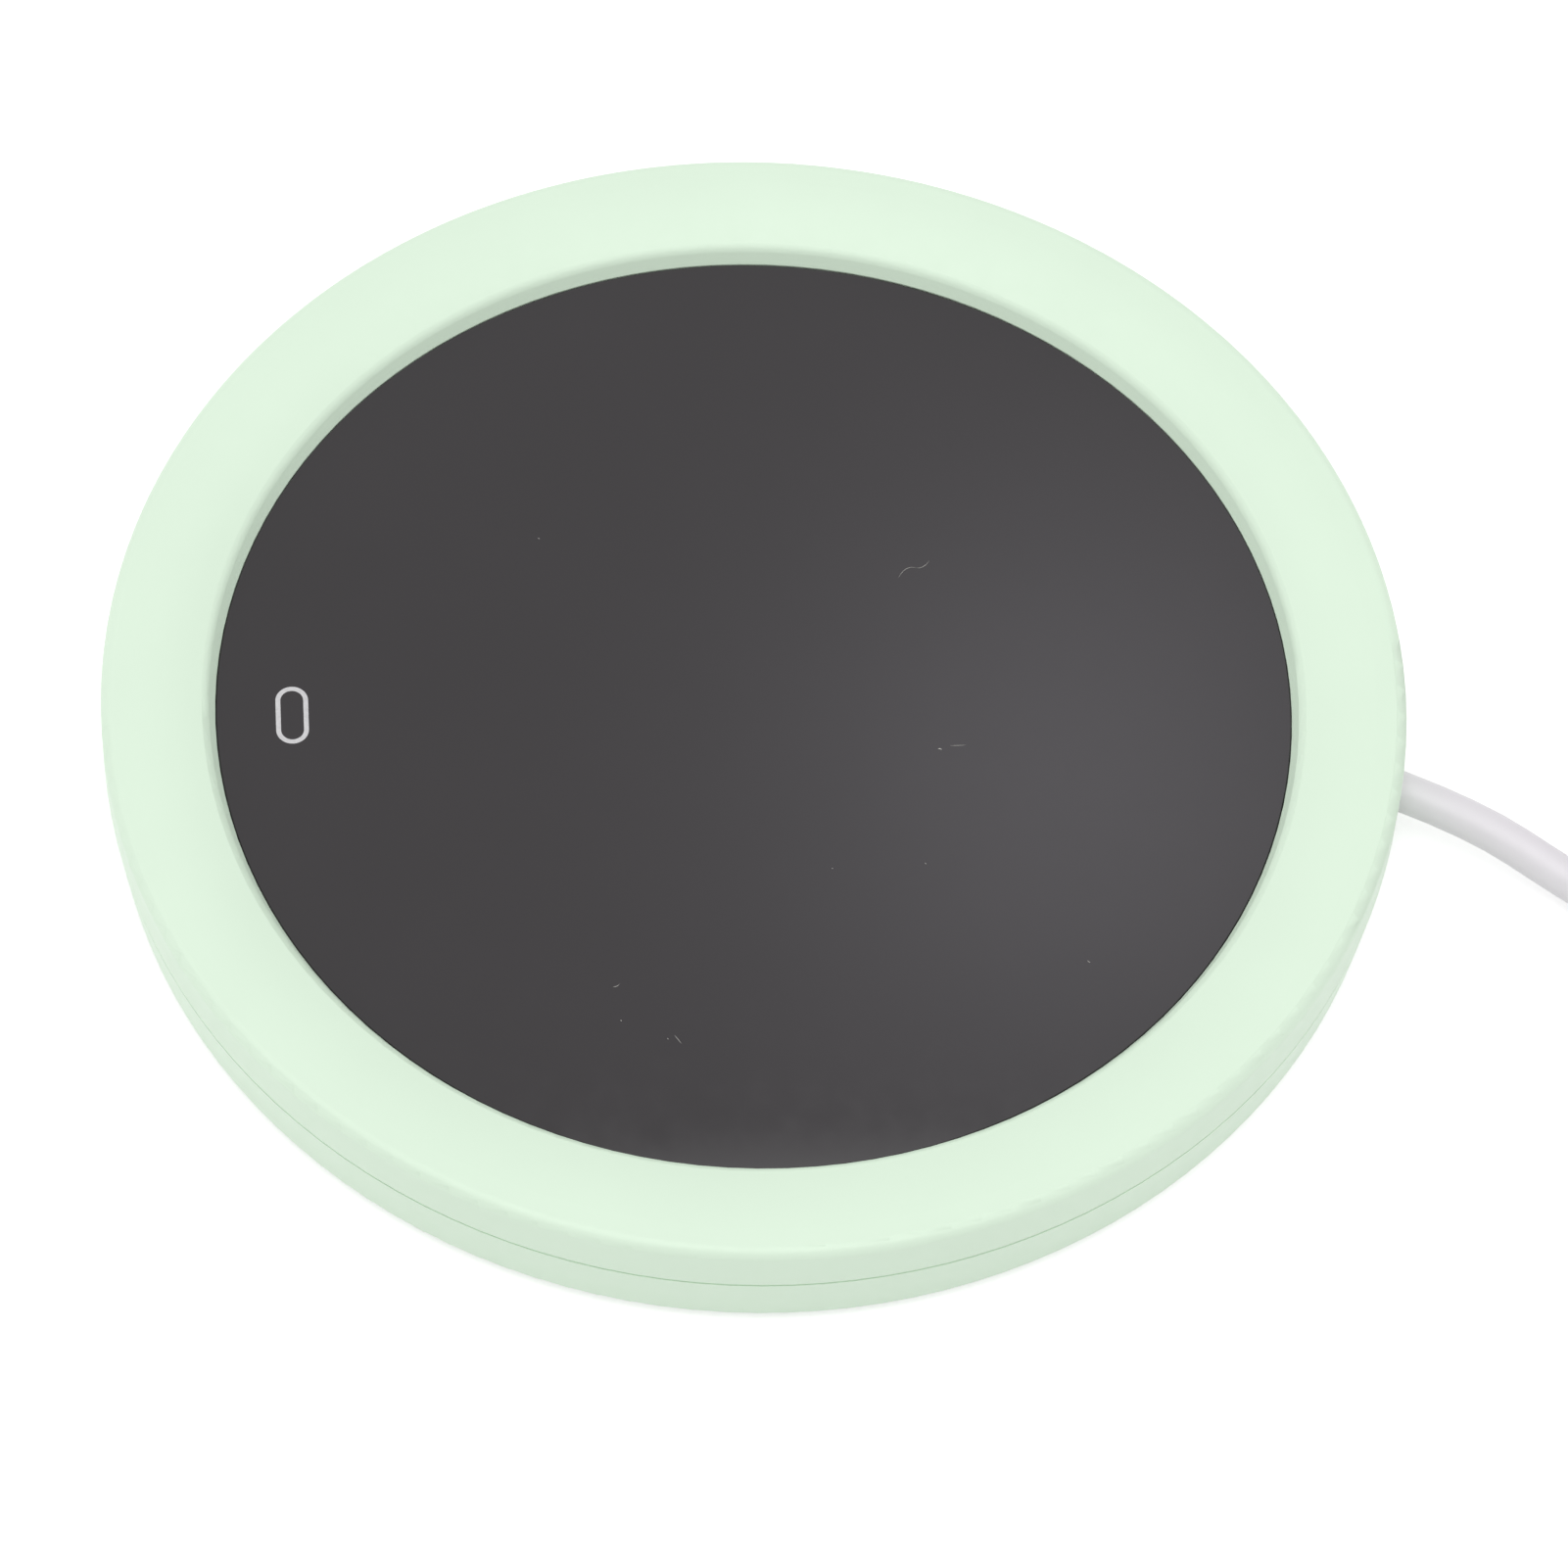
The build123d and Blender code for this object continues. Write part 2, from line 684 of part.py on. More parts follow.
def make_insulation_pad():
    """The felt disc under the film, with a pocket for the sensor and a slot for its wires."""
    slot_width = sensor_wire_pitch + 2 * (sensor_wire_radius + sensor_clearance)
    pocket_width = sensor_wire_pitch + 2 * (sensor_radius + sensor_clearance)
    wire_room = sensor_wire_straight + sensor_wire_drop
    with BuildPart() as insulation_pad:
        with BuildSketch(Plane.XY.offset(z_felt)):
            Circle(film_radius)
        extrude(amount=insulation_thickness)
        with BuildSketch(Plane.XY.offset(z_felt)):
            with Locations((0, -sensor_distance - wire_room / 2)):
                Rectangle(pocket_width, sensor_length + wire_room + 2 * sensor_clearance)
        extrude(amount=insulation_thickness, mode=Mode.SUBTRACT)
        with BuildSketch(Plane.XY.offset(z_felt)):
            with Locations((0, -(sensor_distance + film_radius + slot_width) / 2)):
                Rectangle(slot_width, film_radius - sensor_distance + slot_width)
        extrude(amount=2 * sensor_wire_radius + sensor_clearance, mode=Mode.SUBTRACT)
    return insulation_pad.part


def make_temperature_sensor():
    """The thermistor bead in the felt's pocket, against the foil."""
    with BuildPart() as temperature_sensor:
        with BuildSketch(Plane.XZ.offset(sensor_distance - sensor_length / 2)):
            with Locations((0, z_track - sensor_radius)):
                SlotOverall(sensor_wire_pitch + 2 * sensor_radius, 2 * sensor_radius)
        extrude(amount=sensor_length)
    return temperature_sensor.part


# --- Control board ----------------------------------------------------------------------------------


def make_control_board():
    """The board: a straight inner edge and a curved outer one, with two screw holes."""
    with BuildPart() as control_board:
        with BuildSketch(Plane.XY.offset(z_board)) as outline:
            Circle(board_outer_radius)
            with Locations((0, -(board_inner_edge + board_outer_radius) / 2)):
                Rectangle(
                    2 * board_half_length, board_outer_radius - board_inner_edge, mode=Mode.INTERSECT
                )
            fillet(outline.vertices(), board_corner)
            with board_screw_places():
                Circle(board_screw_radius + screw_clearance, mode=Mode.SUBTRACT)
        extrude(amount=board_thickness)
    return control_board.part


def make_chip(middle, length, outer_pin_count, inner_pin_count):
    """A chip in its moulded case, with a row of pins on each long side."""
    case_level = z_board_top + chip_standoff
    with BuildPart() as chip:
        with BuildSketch(Plane.XY.offset(case_level)):
            with Locations(middle):
                Rectangle(length, chip_width)
        extrude(amount=chip_height)
        chamfer(chip.edges().group_by(Axis.Z)[-1], chip_standoff)
        for side, pin_count in ((-1, outer_pin_count), (1, inner_pin_count)):
            row = (middle[0], middle[1] + side * (chip_width + pin_reach) / 2)
            with BuildSketch(Plane.XY.offset(z_board_top)):
                with Locations(row):
                    with GridLocations(pin_pitch, 0, pin_count, 1):
                        Rectangle(pin_width, pin_reach)
            extrude(amount=chip_height / 2)
            with BuildSketch(Plane.XY.offset(z_board_top + pin_thickness)):
                with Locations((row[0], row[1] + side * pin_reach / 2)):
                    Rectangle(length, pin_reach)
            extrude(amount=chip_height / 2, mode=Mode.SUBTRACT)
    return chip.part


def make_blocks(size, places):
    """A group of small rectangular parts soldered to the board."""
    with BuildPart() as blocks:
        with BuildSketch(Plane((0, -board_inner_edge, z_board_top))):
            with Locations(*places):
                Rectangle(size[0], size[1])
        extrude(amount=size[2])
    return blocks.part


def make_indicator_light():
    """The light under the touch key."""
    with BuildPart() as indicator_light:
        with BuildSketch(Plane.XY.offset(z_board_top)):
            with Locations((0, -key_distance)):
                RectangleRounded(light_length, light_width, light_corner)
        extrude(amount=light_height)
    return indicator_light.part


def make_light_guide():
    """The clear block that carries the light up to the outline on the glass."""
    with BuildPart() as light_guide:
        with BuildSketch(Plane.XY.offset(z_board_top + light_height)):
            with Locations((0, -key_distance)):
                SlotOverall(guide_length, guide_width)
        extrude(amount=z_glass - z_board_top - light_height)
    return light_guide.part


def make_touch_spring():
    """The coiled wire around the light guide, pressed between the board and the glass."""
    bottom = z_board_top + spring_wire_radius
    height = z_glass - z_board_top - 2 * spring_wire_radius
    with BuildPart() as touch_spring:
        with BuildLine() as coil:
            Helix(height / spring_turns, height, spring_radius, center=(0, -key_distance, bottom))
        with BuildSketch(Plane(origin=coil.line @ 0, z_dir=coil.line % 0)):
            Circle(spring_wire_radius)
        sweep(is_frenet=True)
    return touch_spring.part


# --- Wires inside -----------------------------------------------------------------------------------


def power_route(side):
    """One power wire: from the lead's stripped end, round the heater, up on to the board."""
    low = z_floor + power_wire_radius
    high = z_board_top + power_wire_radius + wire_clearance
    corner = Vector(board_half_length, -board_inner_edge, 0)
    middle = [jacket_end, jacket_end - cord_direction * power_wire_straight]
    middle += [polar(power_route_radius, bearing, low) for bearing in power_route_bearings]
    middle.append(corner + Vector(*power_climb[0], low))
    middle.append(corner + Vector(*power_climb[1], high))
    middle.append(corner + Vector(*power_end, high))
    return beside(middle, side * power_wire_pitch / 2, side * power_pad_pitch / 2)


def heater_route(side):
    """One heater wire: from its terminal on the film's tab, sideways and down to the board."""
    under_tab = z_track - heater_wire_radius - wire_clearance
    on_board = z_board_top + heater_wire_radius + wire_clearance
    bend, end = heater_wire_steps
    return [
        Vector(side * terminal_x, terminal_y, under_tab),
        Vector(side * (terminal_x + bend), terminal_y, under_tab),
        Vector(side * (terminal_x + end), terminal_y, on_board),
    ]


def sensor_route(side):
    """One sensor wire: from the bead, along the felt's slot and down to the board."""
    in_slot = z_felt + sensor_wire_radius + wire_clearance
    on_board = z_board_top + sensor_wire_radius + wire_clearance
    bead_end = -sensor_distance - sensor_length / 2
    drop = bead_end - sensor_wire_straight
    offset = side * sensor_wire_pitch / 2
    return [
        Vector(offset, bead_end, z_track - sensor_radius),
        Vector(offset, drop, z_track - sensor_radius),
        Vector(offset, drop - sensor_wire_drop, in_slot),
        Vector(offset, -film_radius, in_slot),
        Vector(side * sensor_pad_pitch / 2, terminal_y, on_board),
    ]


def make_pair(route, wire_radius):
    """Two wires side by side, as separate solids."""
    left = make_tube(route(-1), wire_radius)
    right = make_tube(route(1), wire_radius)
    with BuildPart() as pair:
        add(left)
        add(right)
    return pair.part


def make_solder_joints(wires):
    """The joint around the end of each wire on the board."""
    joints = (
        (power_route, power_wire_radius),
        (heater_route, heater_wire_radius),
        (sensor_route, sensor_wire_radius),
    )
    with BuildPart() as solder_joints:
        for route, wire_radius in joints:
            with BuildSketch(Plane.XY.offset(z_board_top)):
                for side in (-1, 1):
                    end = route(side)[-1]
                    with Locations((end.X, end.Y)):
                        Circle(wire_radius + solder_margin)
            extrude(amount=min(solder_height, 2 * wire_radius), taper=solder_taper)
        for wire in wires:
            add(wire, mode=Mode.SUBTRACT)
    return solder_joints.part


# --- Lead -------------------------------------------------------------------------------------------


def make_cord_collar(cord_lead):
    """The moulded strain relief around the lead, held between the seat and the stop."""
    height = 2 * (z_cord - z_floor)
    with BuildPart() as cord_collar:
        with BuildSketch(cord_plane(collar_seat_depth + collar_clearance + collar_length)):
            Rectangle(collar_width, height)
        extrude(amount=collar_length)
        fillet(cord_collar.edges().filter_by(Axis(cord_exit, cord_direction)), collar_fillet)
        add(cord_lead, mode=Mode.SUBTRACT)
    return cord_collar.part


def coil_section(grow, bearing):
    """The coil's bundle of turns in section, grown all round, at a bearing from the coil's centre."""
    outwards = polar(1, bearing, 0)
    plane = Plane(origin=coil_centre, x_dir=outwards, z_dir=outwards.cross(Vector(0, 0, 1)))
    with BuildSketch(plane) as section:
        with Locations((coil_radius, coil_base + coil_height / 2)):
            RectangleRounded(
                2 * (coil_half_width + grow), coil_height + 2 * grow, cord_radius + coil_slack + grow
            )
    return section.sketch


def coil_axis():
    """The upright axis of the coil."""
    return Axis(coil_centre, (0, 0, 1))


def make_cord_coil():
    """The outer shape of the wound-up lead, with the straight ends that join its outer turn."""
    with BuildPart() as cord_coil:
        add(coil_section(0, coil_join_bearing))
        revolve(axis=coil_axis())
        with BuildSketch(plane_along(lead_points[-1], (lead_points[-1] - lead_points[-2]).normalized())):
            Circle(cord_radius)
        extrude(amount=coil_join_run)
        with BuildSketch(plane_along(tail_points[0], (tail_points[0] - tail_points[1]).normalized())):
            Circle(cord_radius)
        extrude(amount=coil_leave_run)
    return cord_coil.part


def make_coil_tie():
    """The strap around the coil's turns."""
    strap_angle = degrees(tie_width / coil_radius)
    start_bearing = tie_bearing - strap_angle / 2
    with BuildPart() as coil_tie:
        add(coil_section(tie_clearance + tie_thickness, start_bearing))
        revolve(axis=coil_axis(), revolution_arc=strap_angle)
        add(coil_section(tie_clearance, start_bearing))
        revolve(axis=coil_axis(), revolution_arc=strap_angle, mode=Mode.SUBTRACT)
    return coil_tie.part


# --- Plug -------------------------------------------------------------------------------------------


def make_plug_body():
    """The moulded grip with its tapered, grooved strain relief."""
    with BuildPart() as plug_body:
        with BuildSketch(plug_plane(0)):
            Circle(relief_small_radius)
        with BuildSketch(plug_plane(relief_length)):
            Circle(relief_large_radius)
        loft()
        groove_pitch = relief_length / (relief_groove_count + 1)
        for number in range(relief_groove_count):
            with BuildSketch(plug_plane(groove_pitch * (number + 1) - relief_groove_width / 2)):
                Circle(relief_large_radius + relief_groove_depth)
                Circle(relief_small_radius - relief_groove_depth / 2, mode=Mode.SUBTRACT)
            extrude(amount=relief_groove_width, mode=Mode.SUBTRACT)
        with BuildSketch(plug_plane(relief_length)):
            RectangleRounded(grip_width, grip_height, grip_corner)
        extrude(amount=grip_length)
        rear = plug_body.faces().filter_by(GeomType.PLANE).sort_by(Axis(plug_start, plug_direction))
        fillet(rear[-1].edges(), grip_end_fillet)
        with BuildSketch(plug_plane(relief_length + grip_length - shell_inside_grip)):
            RectangleRounded(shell_width, shell_height, shell_corner)
        extrude(amount=shell_inside_grip, mode=Mode.SUBTRACT)
    return plug_body.part


def make_plug_shell():
    """The folded metal tube of the plug, with its latch windows."""
    start = relief_length + grip_length - shell_inside_grip
    length = shell_inside_grip + shell_length
    with BuildPart() as plug_shell:
        with BuildSketch(plug_plane(start)):
            RectangleRounded(shell_width, shell_height, shell_corner)
            RectangleRounded(
                shell_width - 2 * shell_wall,
                shell_height - 2 * shell_wall,
                shell_corner - shell_wall,
                mode=Mode.SUBTRACT,
            )
        extrude(amount=length)
        window_middle = plug_start + plug_direction * (start + length - window_from_tip)
        across = Vector(0, 0, 1).cross(plug_direction)
        with BuildSketch(Plane(origin=window_middle, x_dir=across, z_dir=(0, 0, 1))):
            with Locations((-window_offset, 0), (window_offset, 0)):
                Rectangle(window_width, window_length)
        extrude(amount=shell_height, both=True, mode=Mode.SUBTRACT)
    return plug_shell.part


def tongue_top():
    """The tongue's contact face, measured up from the plug's axis."""
    return -shell_height / 2 + shell_wall + tongue_thickness


def make_plug_tongue():
    """The insulating tongue in the lower half of the metal tube."""
    start = relief_length + grip_length - shell_inside_grip
    length = shell_inside_grip + shell_length - tongue_setback
    with BuildPart() as plug_tongue:
        with BuildSketch(plug_plane(start)):
            with Locations((0, tongue_top() - tongue_thickness / 2)):
                Rectangle(shell_width - 2 * shell_corner - 2 * shell_wall, tongue_thickness)
        extrude(amount=length)
    return plug_tongue.part


def make_plug_contacts():
    """The four flat contacts on the tongue."""
    tip = relief_length + grip_length + shell_length - tongue_setback - contact_setback
    with BuildPart() as plug_contacts:
        with BuildSketch(plug_plane(tip - contact_length)):
            with Locations(*[(offset, tongue_top() + contact_thickness / 2) for offset in contact_offsets]):
                Rectangle(contact_width, contact_thickness)
        extrude(amount=contact_length)
    return plug_contacts.part


# --- All pieces -------------------------------------------------------------------------------------


def make_pieces():
    """Every piece by name."""
    cord_lead = make_tube(lead_points, cord_radius)
    cord_tail = make_tube(tail_points, cord_radius)
    supply_wire = make_tube(power_route(1), power_wire_radius)
    return_wire = make_tube(power_route(-1), power_wire_radius)
    heater_leads = make_pair(heater_route, heater_wire_radius)
    sensor_leads = make_pair(sensor_route, sensor_wire_radius)
    return {
        "top_housing": make_top_housing(),
        "bottom_cover": make_bottom_cover(),
        "glass_panel": make_glass_panel(),
        "touch_mark": make_touch_mark(),
        "glass_tape": make_glass_tape(),
        "thermal_pad": make_thermal_pad(),
        "heat_spreader": make_heat_spreader(),
        "heating_film": make_heating_film(),
        "heater_track": make_heater_track(),
        "insulation_pad": make_insulation_pad(),
        "temperature_sensor": make_temperature_sensor(),
        "sensor_leads": sensor_leads,
        "heater_leads": heater_leads,
        "supply_wire": supply_wire,
        "return_wire": return_wire,
        "control_board": make_control_board(),
        "board_screws": make_screws(
            board_screw_places,
            board_screw_head_radius,
            z_board_top + board_screw_head_height,
            z_board_top,
            board_screw_radius,
            z_board - board_screw_reach,
        ),
        "controller_chip": make_chip(
            (-chip_offset, -chip_distance), chip_length, chip_outer_pin_count, chip_inner_pin_count
        ),
        "power_transistor": make_chip(
            (chip_offset, -chip_distance),
            transistor_length,
            transistor_outer_pin_count,
            transistor_inner_pin_count,
        ),
        "board_capacitors": make_blocks(capacitor_size, capacitor_places),
        "board_resistors": make_blocks(resistor_size, resistor_places),
        "indicator_light": make_indicator_light(),
        "light_guide": make_light_guide(),
        "touch_spring": make_touch_spring(),
        "solder_joints": make_solder_joints((supply_wire, return_wire, heater_leads, sensor_leads)),
        "housing_screws": make_screws(
            fastener_places,
            screw_head_radius,
            z_screw_head,
            z_screw_seat,
            screw_radius,
            z_boss_hole - screw_tip_clearance,
        ),
        "feet": make_feet(),
        "cord_collar": make_cord_collar(cord_lead),
        "cord_lead": cord_lead,
        "cord_coil": make_cord_coil(),
        "cord_tail": cord_tail,
        "coil_tie": make_coil_tie(),
        "plug_body": make_plug_body(),
        "plug_shell": make_plug_shell(),
        "plug_tongue": make_plug_tongue(),
        "plug_contacts": make_plug_contacts(),
    }


def report_cord(pieces):
    """Prints the lead's bend radii, its length and how far each tube is from section times length."""
    section = pi * cord_radius**2
    loose = 0.0
    for name, points in (("cord_lead", lead_points), ("cord_tail", tail_points)):
        length = route_length(points)
        loose += length
        radii = ", ".join(f"{radius:.1f}" for radius in bend_radii(points))
        share = pieces[name].volume / (section * length)
        print(f"{name}: length {length:.1f}, bend radii {radii}, volume share {share:.4f}")
    coiled = 2 * pi * coil_radius * coil_turns + coil_join_run + coil_leave_run
    print(f"cord: {loose:.1f} loose and {coiled:.1f} coiled, {loose + coiled:.1f} in all")


os.makedirs("parts", exist_ok=True)
all_pieces = make_pieces()
for piece_name, piece in all_pieces.items():
    piece.label = piece_name
    export_step(piece, f"parts/{piece_name}.step")
report_cord(all_pieces)
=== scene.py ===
"""Electric mug warmer: finishes, the wound-up lead, dust on the glass, studio and camera.

Lengths in the finishes, the lead and the dust are millimetres, as in the part's source.
Blender's own and the studio's are metres.
"""

import logging
import math
from abc import ABC, abstractmethod
from dataclasses import dataclass, field
from enum import Enum
from random import Random
from typing import ClassVar

import bmesh
import bpy
from mathutils import Matrix, Vector

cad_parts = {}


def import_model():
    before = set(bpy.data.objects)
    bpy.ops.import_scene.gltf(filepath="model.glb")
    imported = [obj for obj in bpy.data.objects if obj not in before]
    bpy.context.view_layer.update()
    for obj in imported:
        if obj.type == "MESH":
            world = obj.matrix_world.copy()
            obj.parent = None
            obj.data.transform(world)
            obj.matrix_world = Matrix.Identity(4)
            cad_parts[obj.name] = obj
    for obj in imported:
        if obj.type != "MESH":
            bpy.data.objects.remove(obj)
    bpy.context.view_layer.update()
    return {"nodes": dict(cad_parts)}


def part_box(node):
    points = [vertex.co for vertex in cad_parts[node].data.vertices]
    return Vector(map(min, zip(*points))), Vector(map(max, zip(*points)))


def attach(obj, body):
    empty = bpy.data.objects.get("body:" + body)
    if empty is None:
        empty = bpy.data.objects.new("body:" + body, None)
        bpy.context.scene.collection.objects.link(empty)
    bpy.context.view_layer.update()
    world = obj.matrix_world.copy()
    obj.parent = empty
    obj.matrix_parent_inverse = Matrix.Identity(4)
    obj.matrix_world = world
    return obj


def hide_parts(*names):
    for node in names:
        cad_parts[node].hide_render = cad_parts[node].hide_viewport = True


LOG = logging.getLogger("mug_warmer")
MM = 0.001
FULL_TURN = 360
ROOT = "root"

Colour = tuple[float, float, float]
Point = tuple[float, float, float]
PlanPoint = tuple[float, float]
Socket = bpy.types.NodeSocket

WHITE: Colour = (1.0, 1.0, 1.0)

# The curve between display colours and linear ones: a straight line up to its knee, then a power.
DISPLAY_MAX = 255
DISPLAY_KNEE = 0.04045
DISPLAY_SLOPE = 12.92
DISPLAY_OFFSET = 0.055
DISPLAY_POWER = 2.4

# A Mix node's sockets for colours share their names with others, so they go by number.
MIX_SHARE = 0
MIX_LOW = 6
MIX_HIGH = 7
MIX_RESULT = 2

# How far a Wave node at scale 1 moves on, in radians, over one unit of distance.
WAVE_PACE = 20


def tone(red: int, green: int, blue: int) -> Colour:
    """Turns a display colour into the linear one that shaders take.

    Args:
        red: Red, 0 to 255.
        green: Green, 0 to 255.
        blue: Blue, 0 to 255.

    Returns:
        The three linear channels.
    """
    channels = []
    for value in (red, green, blue):
        share = value / DISPLAY_MAX
        if share <= DISPLAY_KNEE:
            channels.append(share / DISPLAY_SLOPE)
        else:
            channels.append(((share + DISPLAY_OFFSET) / (1 + DISPLAY_OFFSET)) ** DISPLAY_POWER)
    return (channels[0], channels[1], channels[2])


def shade(colour: Colour, factor: float) -> Colour:
    """A colour made lighter or darker by a factor."""
    return (colour[0] * factor, colour[1] * factor, colour[2] * factor)


def ease(share: float) -> float:
    """A share from 0 to 1 that starts and ends gently."""
    return share * share * (3 - 2 * share)


# --- Node trees -----------------------------------------------------------------------------------


class Tree:
    """A node tree that nodes are added to.

    Args:
        tree: The tree of a material or of a world.
    """

    def __init__(self, tree: bpy.types.NodeTree) -> None:
        self.nodes = tree.nodes
        self.links = tree.links

    def math(self, operation: str, value: Socket, other: float | Socket = 0.0) -> Socket:
        """Puts a value through one step of arithmetic.

        Args:
            operation: The step's name.
            value: The value.
            other: The step's second value, where it takes one.

        Returns:
            The result.
        """
        node = self.nodes.new("ShaderNodeMath")
        node.operation = operation
        self.links.new(value, node.inputs[0])
        if isinstance(other, float):
            node.inputs[1].default_value = other
        else:
            self.links.new(other, node.inputs[1])
        return node.outputs[0]

    def sum_of(self, first: Socket, second: Socket) -> Socket:
        """Adds two shaders up.

        Args:
            first: One shader.
            second: The other shader.

        Returns:
            The two together.
        """
        node = self.nodes.new("ShaderNodeAddShader")
        self.links.new(first, node.inputs[0])
        self.links.new(second, node.inputs[1])
        return node.outputs[0]

    def seen_directly(self) -> Socket:
        """Tells the rays that show a surface to the camera from those that only light one.

        Returns:
            1 for rays from the camera, off gloss and through clear material, 0 for others.
        """
        path = self.nodes.new("ShaderNodeLightPath")
        seen = path.outputs["Is Camera Ray"]
        for name in ("Is Glossy Ray", "Is Transmission Ray"):
            seen = self.math("MAXIMUM", seen, path.outputs[name])
        return seen

    def nearness(self, direction: Point) -> Socket:
        """Compares the direction looked at with a given one.

        Args:
            direction: The direction given.

        Returns:
            The cosine of the angle between the two.
        """
        dot = self.nodes.new("ShaderNodeVectorMath")
        dot.operation = "DOT_PRODUCT"
        dot.inputs[1].default_value = Vector(direction).normalized()
        self.links.new(self.nodes.new("ShaderNodeTexCoord").outputs["Generated"], dot.inputs[0])
        return dot.outputs["Value"]


class Recipe(Tree):
    """The node tree of one finish, put together step by step.

    Args:
        name: The material's name.
        colour: Base colour, linear.
        roughness: Base roughness.
        metallic: 1 for bare metal.
    """

    def __init__(self, name: str, colour: Colour, roughness: float, metallic: float) -> None:
        self.material = bpy.data.materials.new(name)
        self.material.use_nodes = True
        self.material.diffuse_color = (*colour, 1.0)
        super().__init__(self.material.node_tree)
        self.colour = colour
        self.roughness = roughness
        self.shader = next(node for node in self.nodes if node.type == "BSDF_PRINCIPLED")
        self.set("Base Color", (*colour, 1.0))
        self.set("Roughness", roughness)
        self.set("Metallic", metallic)
        self.place = self.nodes.new("ShaderNodeTexCoord").outputs["Object"]
        self.normal: Socket | None = None

    def set(self, socket: str, value: float | tuple[float, ...]) -> None:
        """Sets one of the shader's own sockets."""
        self.shader.inputs[socket].default_value = value

    def stretched(self, stretch: Point, turn: float = 0.0) -> Socket:
        """Gives the object's coordinates turned about Z and then stretched.

        Args:
            stretch: Factor on each axis: below 1 draws a pattern out along it.
            turn: Turn about Z in degrees.

        Returns:
            The mapped coordinates.
        """
        turned = self.nodes.new("ShaderNodeMapping")
        turned.inputs["Rotation"].default_value = (0.0, 0.0, math.radians(turn))
        self.links.new(self.place, turned.inputs["Vector"])
        drawn = self.nodes.new("ShaderNodeMapping")
        drawn.inputs["Scale"].default_value = stretch
        self.links.new(turned.outputs[0], drawn.inputs["Vector"])
        return drawn.outputs[0]

    def noise(self, size: float, detail: float = 2.0, place: Socket | None = None) -> Socket:
        """Cloudy noise.

        Args:
            size: Size of its spots in millimetres.
            detail: Number of finer layers.
            place: Coordinates, or None for the object's own.

        Returns:
            A value around 0.5.
        """
        node = self.nodes.new("ShaderNodeTexNoise")
        node.inputs["Scale"].default_value = 1 / (size * MM)
        node.inputs["Detail"].default_value = detail
        self.links.new(place or self.place, node.inputs["Vector"])
        return node.outputs["Fac"]

    def cells(self, size: float) -> Socket:
        """Round cells side by side.

        Args:
            size: Their size in millimetres.

        Returns:
            The distance to the middle of the nearest one.
        """
        node = self.nodes.new("ShaderNodeTexVoronoi")
        node.inputs["Scale"].default_value = 1 / (size * MM)
        self.links.new(self.place, node.inputs["Vector"])
        return node.outputs["Distance"]

    def bands(self, pitch: float, place: Socket, warp: float = 0.0) -> Socket:
        """Parallel bands across X.

        Args:
            pitch: Distance from band to band in millimetres.
            place: Coordinates.
            warp: How much the bands wander.

        Returns:
            A value that swings between 0 and 1.
        """
        node = self.nodes.new("ShaderNodeTexWave")
        node.inputs["Scale"].default_value = 2 * math.pi / (WAVE_PACE * pitch * MM)
        node.inputs["Distortion"].default_value = warp
        self.links.new(place, node.inputs["Vector"])
        return node.outputs["Fac"]

    def spread(
        self,
        source: Socket,
        low: float = 0.0,
        high: float = 1.0,
        start: float = 0.3,
        end: float = 0.7,
    ) -> Socket:
        """Maps a value to a new range.

        Args:
            source: The value.
            low: Result where the value is at start or less.
            high: Result where it is at end or more.
            start: Lower end of the value's range.
            end: Upper end of the value's range.

        Returns:
            The mapped value.
        """
        node = self.nodes.new("ShaderNodeMapRange")
        node.inputs["From Min"].default_value = start
        node.inputs["From Max"].default_value = end
        node.inputs["To Min"].default_value = low
        node.inputs["To Max"].default_value = high
        self.links.new(source, node.inputs["Value"])
        return node.outputs["Result"]

    def mix_colours(self, low: Colour, high: Colour, share: Socket) -> None:
        """Mixes the base colour from two.

        Args:
            low: The colour where the share is 0.
            high: The colour where it is 1.
            share: The share.
        """
        node = self.nodes.new("ShaderNodeMix")
        node.data_type = "RGBA"
        node.inputs[MIX_LOW].default_value = (*low, 1.0)
        node.inputs[MIX_HIGH].default_value = (*high, 1.0)
        self.links.new(share, node.inputs[MIX_SHARE])
        self.links.new(node.outputs[MIX_RESULT], self.shader.inputs["Base Color"])

    def mottle(self, share: Socket, darkest: float, lightest: float) -> None:
        """Varies the base colour between two factors by a share from 0 to 1."""
        self.mix_colours(shade(self.colour, darkest), shade(self.colour, lightest), share)

    def vary_roughness(self, source: Socket, below: float, above: float) -> None:
        """Varies the roughness from so much below its base value to so much above."""
        mapped = self.spread(source, self.roughness - below, self.roughness + above)
        self.links.new(mapped, self.shader.inputs["Roughness"])

    def emboss(self, source: Socket, depth: float) -> None:
        """Adds relief on top of what is there.

        Args:
            source: Height from 0 to 1.
            depth: Height of the relief in millimetres.
        """
        node = self.nodes.new("ShaderNodeBump")
        node.inputs["Distance"].default_value = depth * MM
        self.links.new(source, node.inputs["Height"])
        if self.normal is not None:
            self.links.new(self.normal, node.inputs["Normal"])
        self.normal = node.outputs["Normal"]
        self.links.new(self.normal, self.shader.inputs["Normal"])


# --- Finishes -------------------------------------------------------------------------------------


